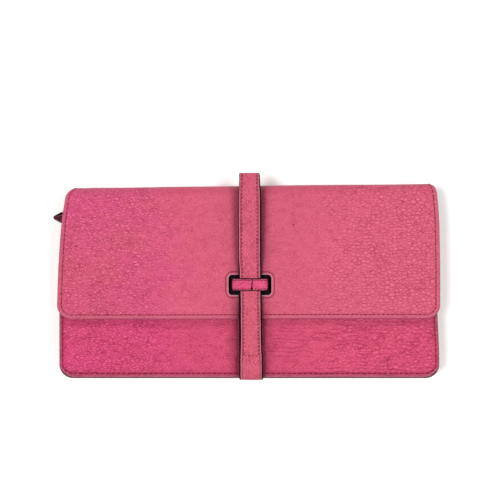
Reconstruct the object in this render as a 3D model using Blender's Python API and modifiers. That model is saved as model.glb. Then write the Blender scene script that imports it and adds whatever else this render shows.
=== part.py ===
"""Long leather wallet: a gusseted note wallet with a flap, a tongue strap that passes
under a keeper loop, stepped card pockets inside and a zip pocket on its back.

The wallet lies on its back. The origin is the centre of the back face, +X is the
wallet's width, +Y runs from the bottom seam to the top fold, and +Z is its thickness.
All sizes are in metres.
"""

import math

import bpy

# Overall form
WIDTH = 0.195
HEIGHT = 0.099
LEATHER = 0.0012
GAP = 0.0003
CORNER_STEPS = 5

HALF_WIDTH = WIDTH / 2
BOTTOM = -HEIGHT / 2
TOP = HEIGHT / 2

# Heights of the layers, each worked out from the one below it
THIN = 0.0003
BOARD = 0.0004
BOND = 0.00015
COMPARTMENT = 0.0045
SLOTS_PER_BANK = 4
SLOT_STEP_Z = THIN + BOND
TAPE_Z = 0.0016
TAPE_THICK = 0.0004
ZIP_MID_Z = 0.0018
POCKET_LINING_Z = 0.0032
REAR_BACKING_Z = POCKET_LINING_Z + THIN + BOND
REAR_SLOT_Z = REAR_BACKING_Z + THIN + BOND
DIVIDER_Z = REAR_SLOT_Z + SLOTS_PER_BANK * SLOT_STEP_Z + COMPARTMENT
FRONT_SLOT_Z = DIVIDER_Z + BOARD + COMPARTMENT
FRONT_LINING_Z = FRONT_SLOT_Z + SLOTS_PER_BANK * SLOT_STEP_Z
FRONT_STIFFENER_Z = FRONT_LINING_Z + THIN + BOND
FRONT_LEATHER_Z = FRONT_STIFFENER_Z + THIN + BOND
FLAP_LINING_Z = FRONT_LEATHER_Z + LEATHER + GAP
FLAP_STIFFENER_Z = FLAP_LINING_Z + THIN + BOND
FLAP_LEATHER_Z = FLAP_STIFFENER_Z + BOARD + BOND
STRAP_LINING_Z = FLAP_LEATHER_Z + LEATHER + GAP
STRAP_LINING_THICK = 0.0008
STRAP_FACE_Z = STRAP_LINING_Z + STRAP_LINING_THICK + BOND
KEEPER_ROOM = 0.0004

# Back panels and the groove between them
GROOVE_MID_Y = 0.0335
GROOVE_WIDTH = 0.009
BOTTOM_RADIUS = 0.006
TOP_RADIUS = 0.003

# Zip
ZIP_HALF_LENGTH = 0.084
TAPE_WIDTH = 0.0115
TAPE_INNER = 0.0022
TOOTH_PITCH = 0.003
TOOTH_WIDTH = 0.0011
TOOTH_REACH = 0.0019
TOOTH_THICK = 0.0009
BEAD_WIDTH = 0.0009
TEETH_START_X = -0.0745
TOP_STOP_X = -0.0871
BOTTOM_STOP_X = 0.0843
STOP_LENGTH = 0.0016
STOP_WIDTH = 0.0034
SLIDER_LENGTH = 0.0085
SLIDER_WIDTH = 0.0074
SLIDER_LEFT_X = -0.0835
PLATE_THICK = 0.0005
PLATE_GAP = 0.0013
POST_LENGTH = 0.002
POST_WIDTH = 0.0024
BAR_X = -0.0855
BAR_Z = 0.0011
BAR_RADIUS = 0.0003
EAR_WIDTH = 0.0006
EAR_SPREAD = 0.0018

# Puller
LINK_HOLE = 0.0006
LINK_RADIUS = 0.001
LINK_WIDTH = 0.003
LINK_TONGUE_X = -0.0885
LINK_TONGUE_THICK = 0.0005
PULLER_THICK = 0.001
PULLER_WIDTH = 0.0067
PULLER_START_X = -0.0888
PULLER_SHOULDER_X = -0.0998
PULLER_TIP_X = -0.105
PULLER_TIP_WIDTH = 0.002

# Card pockets, divider and gussets
POCKET_HALF_WIDTH = 0.09
POCKET_BOTTOM = -0.0445
FIRST_SLOT_TOP = 0.036
SLOT_STEP_Y = 0.0105
BACKING_TOP = 0.045
DIVIDER_TOP = 0.040
GUSSET_X = 0.0962
GUSSET_FOLD = 0.0045
GUSSET_THICK = 0.0007
GUSSET_LOW_Z = POCKET_LINING_Z + THIN + GAP
GUSSET_HIGH_Z = FRONT_LINING_Z - GAP
GUSSET_LENGTH = 0.086
GUSSET_MID_Y = -0.0025
POCKET_LINING_TOP = 0.047

# Front
FRONT_HALF_WIDTH = 0.097
FRONT_TOP = 0.042
BOTTOM_WALL_THICK = 0.0008
BOTTOM_WALL_HALF_WIDTH = 0.0905
FRONT_HINGE_Y = -0.0489
FRONT_HINGE_Z = 0.0014

# Spine and flap
FOLD_INSET = 0.001
SPINE_LOW_Z = LEATHER + GAP
SPINE_HIGH_Z = FLAP_LEATHER_Z - GAP
SPINE_HALF_WIDTH = 0.0955
FLAP_TOP = 0.0483
FLAP_BOTTOM = -0.0196
FLAP_TOP_RADIUS = 0.006
FLAP_BOTTOM_RADIUS = 0.005
FLAP_TOP_INSET = 0.0035
LINING_INSET = 0.0012
SLOT_WIDTH = 0.0213
SLOT_HEIGHT = 0.0098
SLOT_RADIUS = 0.0015
SLOT_MID_Y = -0.0016
SLOT_CLEAR = 0.0007

# Strap and keeper
STRAP_WIDTH = 0.0107
STRAP_LOW_Y = -0.0498
STRAP_TIP_Y = 0.0565
STRAP_ROOT_OUT = 0.0018
STRAP_ROOT_LOW_Z = 0.009
STRAP_HINGE_Y = -0.0501
STRAP_HINGE_Z = FLAP_LEATHER_Z
KEEPER_WIDTH = 0.0187
KEEPER_BAND = 0.0066
KEEPER_THICK = 0.0012
KEEPER_MID_Y = -0.0013
KEEPER_RADIUS = 0.002
KEEPER_LOW_Z = FRONT_LEATHER_Z + LEATHER + GAP
KEEPER_TOP_Z = STRAP_FACE_Z + LEATHER + KEEPER_ROOM + KEEPER_THICK


def make_material(name, color, roughness, metallic=0.0):
    material = bpy.data.materials.new(name)
    material.use_nodes = True
    shader = material.node_tree.nodes["Principled BSDF"]
    shader.inputs["Base Color"].default_value = (*color, 1.0)
    shader.inputs["Roughness"].default_value = roughness
    shader.inputs["Metallic"].default_value = metallic
    material.diffuse_color = (*color, 1.0)
    return material


def make_materials():
    """Each kind of surface: colour in linear RGB, roughness, metallic."""
    kinds = {
        "flap_leather": ((0.70, 0.12, 0.22), 0.55),
        "body_leather": ((0.62, 0.08, 0.17), 0.55),
        "strap_leather": ((0.55, 0.11, 0.17), 0.5),
        "keeper_leather": ((0.70, 0.10, 0.20), 0.5),
        "lining": ((0.33, 0.05, 0.09), 0.8),
        "card_leather": ((0.58, 0.09, 0.17), 0.6),
        "stiffener": ((0.45, 0.38, 0.30), 0.9),
        "zip_tape": ((0.30, 0.03, 0.07), 0.9),
        "zip_metal": ((0.75, 0.62, 0.38), 0.3, 1.0),
    }
    return {name: make_material(name, *values) for name, values in kinds.items()}


def collection(name):
    group = bpy.data.collections.new(name)
    bpy.context.scene.collection.children.link(group)
    return group


def arc(center, radius, start, end):
    """Points round an arc, both ends included. Angles are in degrees."""
    points = []
    for step in range(CORNER_STEPS + 1):
        angle = math.radians(start + (end - start) * step / CORNER_STEPS)
        x = center[0] + radius * math.cos(angle)
        y = center[1] + radius * math.sin(angle)
        points.append((x, y))
    return points


def rounded_rect(low, high, low_radius, high_radius, top_inset=0.0):
    """A counter-clockwise outline. top_inset narrows each side at the top."""
    left, bottom = low
    right, top = high
    inner_left = left + top_inset
    inner_right = right - top_inset
    outline = arc((left + low_radius, bottom + low_radius), low_radius, 180, 270)
    outline += arc((right - low_radius, bottom + low_radius), low_radius, 270, 360)
    outline += arc((inner_right - high_radius, top - high_radius), high_radius, 0, 90)
    outline += arc((inner_left + high_radius, top - high_radius), high_radius, 90, 180)
    return outline


def plain_rect(low, high):
    return [(low[0], low[1]), (high[0], low[1]), (high[0], high[1]), (low[0], high[1])]


def extruded(name, outlines, depth, material):
    """A flat outline, with any holes after it, extruded by depth about its plane."""
    curve = bpy.data.curves.new(name, "CURVE")
    curve.dimensions = "2D"
    curve.fill_mode = "BOTH"
    curve.extrude = depth / 2
    for outline in outlines:
        spline = curve.splines.new("POLY")
        spline.points.add(len(outline) - 1)
        for point, (x, y) in zip(spline.points, outline):
            point.co = (x, y, 0.0, 1.0)
        spline.use_cyclic_u = True
    curve.materials.append(material)
    return bpy.data.objects.new(name, curve)


def put(obj, group, location, pivot=None):
    """Links an object and places it at a world location under its pivot."""
    group.objects.link(obj)
    obj.location = location
    if pivot is not None:
        obj.parent = pivot
        obj.location = [here - there for here, there in zip(location, pivot["place"])]
    return obj


def make_pivot(name, group, place, parent=None):
    """An empty on a joint's axis. It keeps its world place, for what hangs under it."""
    pivot = bpy.data.objects.new(name, None)
    pivot.empty_display_size = 0.01
    pivot["place"] = place
    return put(pivot, group, place, parent)


def sheet(name, group, outlines, low_z, thick, material, pivot=None):
    """A flat piece that lies parallel to the back face."""
    obj = extruded(name, outlines, thick, material)
    return put(obj, group, (0.0, 0.0, low_z + thick / 2), pivot)


def block(name, group, low, high, material, pivot=None, bevel=0.0):
    """A box between two corners, with its edges rounded if bevel is given."""
    bpy.ops.mesh.primitive_cube_add(size=1.0)
    obj = bpy.context.active_object
    obj.name = name
    obj.data.name = name
    for vertex in obj.data.vertices:
        for axis in range(3):
            vertex.co[axis] *= high[axis] - low[axis]
    obj.data.materials.append(material)
    for owner in list(obj.users_collection):
        owner.objects.unlink(obj)
    if bevel:
        rounding = obj.modifiers.new("Rounded edges", "BEVEL")
        rounding.width = bevel
        rounding.segments = 2
    return put(obj, group, [(a + b) / 2 for a, b in zip(low, high)], pivot)


def unite(obj, others, group):
    """Joins helper solids to an object, and keeps them as hidden cutters."""
    for other in others:
        other.hide_render = True
        other.display_type = "WIRE"
        joining = obj.modifiers.new("Join " + other.name, "BOOLEAN")
        joining.operation = "UNION"
        joining.object = other
    return obj


def make_back(group, materials):
    """The two back panels leave a groove between them for the zip."""
    leather = materials["body_leather"]
    groove_low = GROOVE_MID_Y - GROOVE_WIDTH / 2
    groove_high = GROOVE_MID_Y + GROOVE_WIDTH / 2
    lower = rounded_rect((-HALF_WIDTH, BOTTOM), (HALF_WIDTH, groove_low), BOTTOM_RADIUS, GAP)
    sheet("back_lower_panel", group, [lower], 0.0, LEATHER, leather)
    band_top = TOP - LEATHER - GAP / 2
    upper = rounded_rect((-HALF_WIDTH, groove_high), (HALF_WIDTH, band_top), GAP, TOP_RADIUS)
    sheet("back_upper_band", group, [upper], 0.0, LEATHER, leather)
    inset = 2 * LEATHER
    lining = rounded_rect(
        (-HALF_WIDTH + inset, BOTTOM + inset), (HALF_WIDTH - inset, POCKET_LINING_TOP), TOP_RADIUS, TOP_RADIUS
    )
    sheet("zip_pocket_lining", group, [lining], POCKET_LINING_Z, THIN, materials["lining"])


def tooth_row(side, phase):
    """The comb outline of one row of zip teeth. side is +1 for the upper row."""
    middle = GROOVE_MID_Y
    bead_outer = middle + side * TOOTH_REACH
    bead_inner = middle + side * (TOOTH_REACH - BEAD_WIDTH)
    tip = middle - side * BEAD_WIDTH / 2
    count = int((ZIP_HALF_LENGTH - TEETH_START_X) / TOOTH_PITCH)
    outline = [(ZIP_HALF_LENGTH, bead_outer), (TEETH_START_X, bead_outer), (TEETH_START_X, bead_inner)]
    for tooth in range(count):
        start = TEETH_START_X + phase + tooth * TOOTH_PITCH
        end = start + TOOTH_WIDTH
        outline += [(start, bead_inner), (start, tip), (end, tip), (end, bead_inner)]
    outline.append((ZIP_HALF_LENGTH, bead_inner))
    return outline


def make_zip_chain(group, materials):
    """Two tapes, two rows of teeth and the stops at the ends of the chain."""
    end = ZIP_HALF_LENGTH + 3 * STOP_LENGTH
    for name, side, phase in (("upper", 1, TOOTH_PITCH * 0.6), ("lower", -1, TOOTH_PITCH * 0.1)):
        inner = GROOVE_MID_Y + side * TAPE_INNER
        outer = GROOVE_MID_Y + side * (TAPE_INNER + TAPE_WIDTH)
        tape = plain_rect((-end, min(inner, outer)), (end, max(inner, outer)))
        sheet("zip_tape_" + name, group, [tape], TAPE_Z, TAPE_THICK, materials["zip_tape"])
        teeth = tooth_row(side, phase)
        low_z = ZIP_MID_Z - TOOTH_THICK / 2
        sheet("zip_teeth_" + name, group, [teeth], low_z, TOOTH_THICK, materials["zip_metal"])
    for name, near, side in (("zip_top_stop", TOP_STOP_X, -1), ("zip_bottom_stop", BOTTOM_STOP_X, 1)):
        far = near + side * STOP_LENGTH
        low = (min(near, far), GROOVE_MID_Y - STOP_WIDTH / 2, ZIP_MID_Z - TOOTH_THICK / 2)
        high = (max(near, far), GROOVE_MID_Y + STOP_WIDTH / 2, ZIP_MID_Z + TOOTH_THICK / 2)
        block(name, group, low, high, materials["zip_metal"], bevel=0.0002)


def make_slider(group, cutters, materials, pivot):
    """Two plates on a post, with ears that hold the puller's bar."""
    metal = materials["zip_metal"]
    low_y = GROOVE_MID_Y - SLIDER_WIDTH / 2
    high_y = GROOVE_MID_Y + SLIDER_WIDTH / 2
    right_x = SLIDER_LEFT_X + SLIDER_LENGTH
    outer_low = ZIP_MID_Z - PLATE_GAP / 2 - PLATE_THICK
    inner_high = ZIP_MID_Z + PLATE_GAP / 2 + PLATE_THICK
    outer_corner = (right_x, high_y, outer_low + PLATE_THICK)
    slider = block("zip_slider", group, (SLIDER_LEFT_X, low_y, outer_low), outer_corner, metal, pivot)
    inner = block(
        "slider_inner_plate",
        cutters,
        (SLIDER_LEFT_X, low_y, inner_high - PLATE_THICK),
        (right_x, high_y, inner_high),
        metal,
        pivot,
    )
    post = block(
        "slider_post",
        cutters,
        (SLIDER_LEFT_X, GROOVE_MID_Y - POST_WIDTH / 2, outer_low + PLATE_THICK / 2),
        (SLIDER_LEFT_X + POST_LENGTH, GROOVE_MID_Y + POST_WIDTH / 2, inner_high - PLATE_THICK / 2),
        metal,
        pivot,
    )
    joined = [inner, post]
    for name, side in (("slider_ear_upper", 1), ("slider_ear_lower", -1)):
        ear_near = GROOVE_MID_Y + side * EAR_SPREAD
        ear_far = ear_near + side * EAR_WIDTH
        joined.append(
            block(
                name,
                cutters,
                (BAR_X - 2 * BAR_RADIUS, min(ear_near, ear_far), outer_low),
                (SLIDER_LEFT_X + POST_LENGTH, max(ear_near, ear_far), TAPE_Z - GAP),
                metal,
                pivot,
            )
        )
    bar_length = 2 * EAR_SPREAD + EAR_WIDTH
    bpy.ops.mesh.primitive_cylinder_add(
        vertices=10, radius=BAR_RADIUS, depth=bar_length, rotation=(math.pi / 2, 0.0, 0.0)
    )
    bar = bpy.context.active_object
    bar.name = "slider_bar"
    bar.data.materials.append(metal)
    for owner in list(bar.users_collection):
        owner.objects.unlink(bar)
    put(bar, cutters, (BAR_X, GROOVE_MID_Y, BAR_Z), pivot)
    joined.append(bar)
    unite(slider, joined, cutters)


def make_puller(group, materials, pivot):
    """A link that turns on the slider's bar, and the pointed leather tab it carries."""
    tongue_low = BAR_Z - LINK_RADIUS
    tongue_high = tongue_low + LINK_TONGUE_THICK
    open_angle = math.degrees(math.acos(1 - LINK_TONGUE_THICK / LINK_RADIUS))
    tongue_end = LINK_TONGUE_X - BAR_X
    ring = []
    steps = 3 * CORNER_STEPS
    for step in range(steps + 1):
        angle = math.radians(-90 + (360 - open_angle) * step / steps)
        ring.append((LINK_RADIUS * math.cos(angle), LINK_RADIUS * math.sin(angle)))
    outline = [(tongue_end, tongue_high - BAR_Z), (tongue_end, tongue_low - BAR_Z)] + ring
    hole = []
    for step in range(steps):
        angle = math.radians(360 * step / steps)
        hole.append((LINK_HOLE * math.cos(angle), LINK_HOLE * math.sin(angle)))
    link = extruded("puller_link", [outline, hole], LINK_WIDTH, materials["zip_metal"])
    link.rotation_euler = (math.pi / 2, 0.0, 0.0)
    put(link, group, (BAR_X, GROOVE_MID_Y, BAR_Z), pivot)

    half = PULLER_WIDTH / 2
    tip = PULLER_TIP_WIDTH / 2
    neck = LINK_WIDTH / 2
    shape = [
        (PULLER_START_X, -neck),
        (PULLER_START_X, neck),
        (PULLER_START_X - half, half),
        (PULLER_SHOULDER_X, half),
        (PULLER_TIP_X, tip),
        (PULLER_TIP_X, -tip),
        (PULLER_SHOULDER_X, -half),
        (PULLER_START_X - half, -half),
    ]
    shape = [(x, y + GROOVE_MID_Y) for x, y in shape]
    sheet("zip_puller", group, [shape], BAR_Z - LINK_RADIUS, PULLER_THICK, materials["strap_leather"], pivot)


def pocket_rect(top, inset=0.0):
    low = (-POCKET_HALF_WIDTH + inset, POCKET_BOTTOM)
    return rounded_rect(low, (POCKET_HALF_WIDTH - inset, top), GAP, TOP_RADIUS / 2)


def make_pockets(group, materials, front_pivot, divider_pivot):
    """Stepped card pockets on both walls, with the divider between them."""
    card = materials["card_leather"]
    sheet("card_backing_rear", group, [pocket_rect(BACKING_TOP)], REAR_BACKING_Z, THIN, materials["lining"])
    for number in range(SLOTS_PER_BANK):
        top = FIRST_SLOT_TOP - number * SLOT_STEP_Y
        rear_z = REAR_SLOT_Z + number * SLOT_STEP_Z
        sheet(f"card_slot_rear_{number + 1}", group, [pocket_rect(top)], rear_z, THIN, card)
        front_z = FRONT_SLOT_Z + (SLOTS_PER_BANK - 1 - number) * SLOT_STEP_Z
        name = f"card_slot_front_{number + 1}"
        sheet(name, group, [pocket_rect(top)], front_z, THIN, card, front_pivot)
    divider = pocket_rect(DIVIDER_TOP)
    sheet("note_divider", group, [divider], DIVIDER_Z, BOARD, materials["lining"], divider_pivot)


def make_gussets(group, materials):
    """Each side is closed by a strip folded inwards in a V."""
    middle_z = (GUSSET_LOW_Z + GUSSET_HIGH_Z) / 2
    for name, side in (("gusset_left", -1), ("gusset_right", 1)):
        edge = side * GUSSET_X
        fold = side * (GUSSET_X - GUSSET_FOLD)
        shift = -side * GUSSET_THICK
        section = [
            (edge, GUSSET_LOW_Z),
            (fold, middle_z),
            (edge, GUSSET_HIGH_Z),
            (edge + shift, GUSSET_HIGH_Z),
            (fold + shift, middle_z),
            (edge + shift, GUSSET_LOW_Z),
        ]
        gusset = extruded(name, [section], GUSSET_LENGTH, materials["lining"])
        gusset.rotation_euler = (math.pi / 2, 0.0, 0.0)
        put(gusset, group, (0.0, GUSSET_MID_Y, 0.0))


def make_front(group, materials, pivot):
    """The front panel with its stiffener and lining, and the wall at the bottom seam."""
    outer = rounded_rect(
        (-FRONT_HALF_WIDTH, BOTTOM), (FRONT_HALF_WIDTH, FRONT_TOP), BOTTOM_RADIUS, TOP_RADIUS
    )
    sheet("front_panel", group, [outer], FRONT_LEATHER_Z, LEATHER, materials["body_leather"], pivot)
    inset = LINING_INSET
    inner = rounded_rect(
        (-FRONT_HALF_WIDTH + inset, BOTTOM + inset),
        (FRONT_HALF_WIDTH - inset, FRONT_TOP - inset),
        BOTTOM_RADIUS - inset,
        TOP_RADIUS - inset,
    )
    sheet("front_stiffener", group, [inner], FRONT_STIFFENER_Z, THIN, materials["stiffener"], pivot)
    sheet("front_lining", group, [inner], FRONT_LINING_Z, THIN, materials["lining"], pivot)
    low = (-BOTTOM_WALL_HALF_WIDTH, FRONT_HINGE_Y - BOTTOM_WALL_THICK / 2, GUSSET_LOW_Z)
    high = (BOTTOM_WALL_HALF_WIDTH, FRONT_HINGE_Y + BOTTOM_WALL_THICK / 2, GUSSET_HIGH_Z)
    block("bottom_wall", group, low, high, materials["body_leather"], pivot)


def make_keeper(group, materials, pivot):
    """A closed leather loop that stands on the front panel, through the flap's slot."""
    half = KEEPER_WIDTH / 2
    outer = rounded_rect((-half, KEEPER_LOW_Z), (half, KEEPER_TOP_Z), KEEPER_RADIUS, KEEPER_RADIUS)
    thick = KEEPER_THICK
    inner_radius = KEEPER_RADIUS - thick
    low = (-half + thick, KEEPER_LOW_Z + thick)
    high = (half - thick, KEEPER_TOP_Z - thick)
    inner = rounded_rect(low, high, inner_radius, inner_radius)
    keeper = extruded("keeper_loop", [outer, inner], KEEPER_BAND, materials["keeper_leather"])
    keeper.rotation_euler = (math.pi / 2, 0.0, 0.0)
    put(keeper, group, (0.0, KEEPER_MID_Y, 0.0), pivot)


def make_spine(group, materials, pivot):
    """The top wall of leather between the back and the flap, and its lining."""
    low = (-SPINE_HALF_WIDTH, TOP - LEATHER, SPINE_LOW_Z)
    high = (SPINE_HALF_WIDTH, TOP, SPINE_HIGH_Z)
    block("spine_leather", group, low, high, materials["flap_leather"], pivot)
    lining_low = (low[0] + LINING_INSET, low[1] - GAP - BOARD, low[2] + BOARD)
    lining_high = (high[0] - LINING_INSET, low[1] - GAP, high[2] - 2 * LEATHER)
    block("spine_lining", group, lining_low, lining_high, materials["lining"], pivot)


def slot_outline(extra):
    """The flap's slot for the keeper, made larger all round by extra."""
    half = SLOT_WIDTH / 2 + extra
    low = (-half, SLOT_MID_Y - SLOT_HEIGHT / 2 - extra)
    high = (half, SLOT_MID_Y + SLOT_HEIGHT / 2 + extra)
    radius = SLOT_RADIUS + extra
    return rounded_rect(low, high, radius, radius)


def flap_outline(inset):
    low = (-HALF_WIDTH + inset, FLAP_BOTTOM + inset)
    high = (HALF_WIDTH - inset, FLAP_TOP - inset)
    bottom_radius = FLAP_BOTTOM_RADIUS - inset
    return rounded_rect(low, high, bottom_radius, FLAP_TOP_RADIUS - inset, FLAP_TOP_INSET)


def make_flap(group, materials, pivot):
    """Outer leather, stiffener and lining, each pierced by the keeper's slot."""
    outer = [flap_outline(0.0), slot_outline(0.0)]
    sheet("flap_leather", group, outer, FLAP_LEATHER_Z, LEATHER, materials["flap_leather"], pivot)
    board = [flap_outline(2 * LINING_INSET), slot_outline(SLOT_CLEAR)]
    sheet("flap_stiffener", group, board, FLAP_STIFFENER_Z, BOARD, materials["stiffener"], pivot)
    lining = [flap_outline(LINING_INSET), slot_outline(SLOT_CLEAR / 2)]
    sheet("flap_lining", group, lining, FLAP_LINING_Z, THIN, materials["lining"], pivot)


def make_strap(group, materials, front_pivot, strap_pivot):
    """A tongue rooted in the bottom seam: a face and a lining, sewn together."""
    leather = materials["strap_leather"]
    half = STRAP_WIDTH / 2
    radius = 2 * GAP
    face = rounded_rect((-half, STRAP_LOW_Y), (half, STRAP_TIP_Y), GAP, radius)
    sheet("strap_face", group, [face], STRAP_FACE_Z, LEATHER, leather, strap_pivot)
    lining_start = STRAP_LOW_Y + 10 * LEATHER
    lining = rounded_rect((-half, lining_start), (half, STRAP_TIP_Y), GAP, radius)
    sheet("strap_lining", group, [lining], STRAP_LINING_Z, STRAP_LINING_THICK, leather, strap_pivot)
    low = (-half, BOTTOM - GAP - STRAP_ROOT_OUT, STRAP_ROOT_LOW_Z)
    high = (half, BOTTOM - GAP - STRAP_ROOT_OUT + LEATHER, STRAP_FACE_Z + LEATHER)
    block("strap_root", group, low, high, leather, front_pivot)


def build():
    for obj in list(bpy.data.objects):
        bpy.data.objects.remove(obj, do_unlink=True)
    materials = make_materials()
    group = collection("long_wallet")
    cutters = collection("cutters")

    front = make_pivot("front_pivot", group, (0.0, FRONT_HINGE_Y, FRONT_HINGE_Z))
    divider = make_pivot("divider_pivot", group, (0.0, POCKET_BOTTOM, DIVIDER_Z))
    fold_y = TOP - FOLD_INSET
    spine = make_pivot("spine_pivot", group, (0.0, fold_y, FOLD_INSET))
    flap_top = FLAP_LEATHER_Z + LEATHER
    flap = make_pivot("flap_pivot", group, (0.0, fold_y, flap_top - FOLD_INSET), spine)
    strap = make_pivot("strap_pivot", group, (0.0, STRAP_HINGE_Y, STRAP_HINGE_Z), front)
    slider = make_pivot("slider_pivot", group, (SLIDER_LEFT_X, GROOVE_MID_Y, ZIP_MID_Z))
    puller = make_pivot("puller_pivot", group, (BAR_X, GROOVE_MID_Y, BAR_Z), slider)

    make_back(group, materials)
    make_zip_chain(group, materials)
    make_slider(group, cutters, materials, slider)
    make_puller(group, materials, puller)
    make_pockets(group, materials, front, divider)
    make_gussets(group, materials)
    make_front(group, materials, front)
    make_keeper(group, materials, front)
    make_spine(group, materials, spine)
    make_flap(group, materials, flap)
    make_strap(group, materials, front, strap)


build()
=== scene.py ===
"""The long wallet's looks: leather skins, stitching, edge paint, linings and metal.

Sizes are in millimetres, and become metres when a mesh is made. +X is the wallet's width,
+Y runs from the bottom seam to the top fold, and +Z is its thickness.
"""

import math

import bpy
import numpy as np
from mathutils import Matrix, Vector, noise


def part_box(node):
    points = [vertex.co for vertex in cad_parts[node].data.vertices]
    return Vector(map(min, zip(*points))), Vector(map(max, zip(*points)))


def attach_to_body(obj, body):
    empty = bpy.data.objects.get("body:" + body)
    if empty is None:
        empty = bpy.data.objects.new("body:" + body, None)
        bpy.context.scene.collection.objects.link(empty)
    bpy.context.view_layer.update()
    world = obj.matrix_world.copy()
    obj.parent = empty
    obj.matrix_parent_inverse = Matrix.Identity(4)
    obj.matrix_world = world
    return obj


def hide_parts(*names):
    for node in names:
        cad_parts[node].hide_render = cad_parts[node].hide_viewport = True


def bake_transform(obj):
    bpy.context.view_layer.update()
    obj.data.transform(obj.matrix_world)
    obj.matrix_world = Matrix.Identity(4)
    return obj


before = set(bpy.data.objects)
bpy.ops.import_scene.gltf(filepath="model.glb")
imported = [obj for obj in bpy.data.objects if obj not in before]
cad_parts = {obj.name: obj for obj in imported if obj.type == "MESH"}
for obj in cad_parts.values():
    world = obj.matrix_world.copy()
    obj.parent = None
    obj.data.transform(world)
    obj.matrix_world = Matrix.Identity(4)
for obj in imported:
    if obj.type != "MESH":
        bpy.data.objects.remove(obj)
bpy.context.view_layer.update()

MM = 0.001


# ---- sizes from the frame


def box_mm(node):
    return [[value / MM for value in corner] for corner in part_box(node)]


flap_low, flap_high = box_mm("flap_leather")
front_low, front_high = box_mm("front_panel")
back_low, back_high = box_mm("back_lower_panel")
keeper_low, keeper_high = box_mm("keeper_loop")
puller_low, puller_high = box_mm("zip_puller")
BAND_BOTTOM = box_mm("back_upper_band")[0][1]
FOLD_Y = box_mm("spine_leather")[1][1]
STRAP_TIP = box_mm("strap_face")[1][1]
ROOT_Y, ROOT_Z = box_mm("strap_root")[0][1:]
LINING_TOP = box_mm("flap_lining")[1][2]
BOARD_TOP = box_mm("flap_stiffener")[1][2]

HALF_WIDTH = flap_high[0]
FLAP_Z = flap_high[2]
FLAP_BOTTOM = flap_low[1]
FLAP_RADIUS = 7.4
FOLD_RADIUS = 6.5
BACK_RADIUS = 3.0
SEAM_Z = 8.0
FLAT_LENGTH = FOLD_Y - FOLD_RADIUS - FLAP_BOTTOM
BEND_LENGTH = FOLD_RADIUS * math.pi / 2
FLAP_END = FLAT_LENGTH + BEND_LENGTH + FLAP_Z - FOLD_RADIUS - SEAM_Z
SKIN = 1.1
EDGE_LIP = 2.1

FLAP_STITCH = 2.3
FRONT_STITCH = 1.9
FRONT_BOTTOM_STITCH = 2.6
STITCH_PITCH = 2.3

SLOT_HALF_X = 10.65
SLOT_HALF_Y = 4.9
SLOT_MID_Y = -1.6
SLOT_RADIUS = 1.6
SLOT_RING = 1.75


# ---- small maths


def lines(start, *spans):
    """Grid positions from start over spans of (step, end). Every span's ends are kept."""
    parts = []
    for step, end in spans:
        count = max(1, math.ceil((end - start) / step - 1e-6))
        parts.append(np.linspace(start, end, count, endpoint=False))
        start = end
    return np.concatenate([*parts, [start]])


def columns(half, margin, step, fine=0.3):
    """Positions from -half to half, fine within a margin of both ends."""
    inner = half - margin
    return lines(-half, (fine, -inner), (step, inner), (fine, half))


def xyz(x, y, z):
    """Rows of points from arrays or numbers of matching shapes."""
    return np.stack(np.broadcast_arrays(x, y, z), axis=-1)


def smooth(low, high, value):
    t = np.clip((value - low) / (high - low), 0.0, 1.0)
    return t * t * (3 - 2 * t)


def bell(value, middle, width):
    return np.exp(-(((value - middle) / width) ** 2))


def noise_at(x, y, scale_x, scale_y, seed):
    """Smooth noise, about -1 to 1, at each pair of coordinates."""
    x, y = np.broadcast_arrays(x, y)
    flat = zip(np.ravel(x) / scale_x, np.ravel(y) / scale_y)
    values = [noise.noise(Vector((a, b, seed))) for a, b in flat]
    return np.array(values).reshape(x.shape)


def lengths(path):
    """How far along a path each of its points lies."""
    gaps = np.linalg.norm(np.diff(path, axis=0), axis=1)
    return np.concatenate([[0], np.cumsum(gaps)])


def sample(rows, at, where):
    """Rows of values given at some stations, read at others."""
    return np.stack([np.interp(where, at, column) for column in rows.T], axis=-1)


def left_normals(path):
    """Unit vectors to the left of a flat path, at each of its points."""
    ahead = np.gradient(path, axis=0)
    ahead /= np.linalg.norm(ahead, axis=1)[:, None]
    return np.stack([-ahead[:, 1], ahead[:, 0]], axis=-1)


def round_corner(x, y, half, low, radius):
    """Bends the square corners at the low end of a grid into arcs."""
    a = np.clip((np.abs(x) - (half - radius)) / radius, 0.0, 1.0)
    b = np.clip(((low + radius) - y) / radius, 0.0, 1.0)
    inside = (a > 0) & (b > 0)
    new_a = a * np.sqrt(1 - b * b / 2)
    new_b = b * np.sqrt(1 - a * a / 2)
    x = np.where(inside, np.sign(x) * (half - radius + new_a * radius), x)
    y = np.where(inside, low + radius - new_b * radius, y)
    return x, y


def inset_of(x, y, half, low, high, radius):
    """Distance in from a rounded outline, whose high end is square."""
    qx = np.abs(x) - (half - radius)
    qy = (low + radius) - y
    corner = np.hypot(np.maximum(qx, 0), np.maximum(qy, 0))
    inner = radius - corner - np.minimum(np.maximum(qx, qy), 0)
    return np.minimum(inner, high - y)


def edge_drop(inset, radius):
    """How far a rounded edge falls below the face."""
    reach = np.clip(radius - inset, 0.0, radius)
    return radius - np.sqrt(np.maximum(radius * radius - reach * reach, 0.0))


# ---- mesh builders

PAINTED_RIM = 0.35
FAR_IN = 99.0
THREAD_RINGS = ((-0.5, 0.35), (-0.36, 0.85), (0.0, 1.0), (0.36, 0.85), (0.5, 0.35))
THREAD_SIDES = 6
THREAD_LENGTH = 0.8


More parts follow.
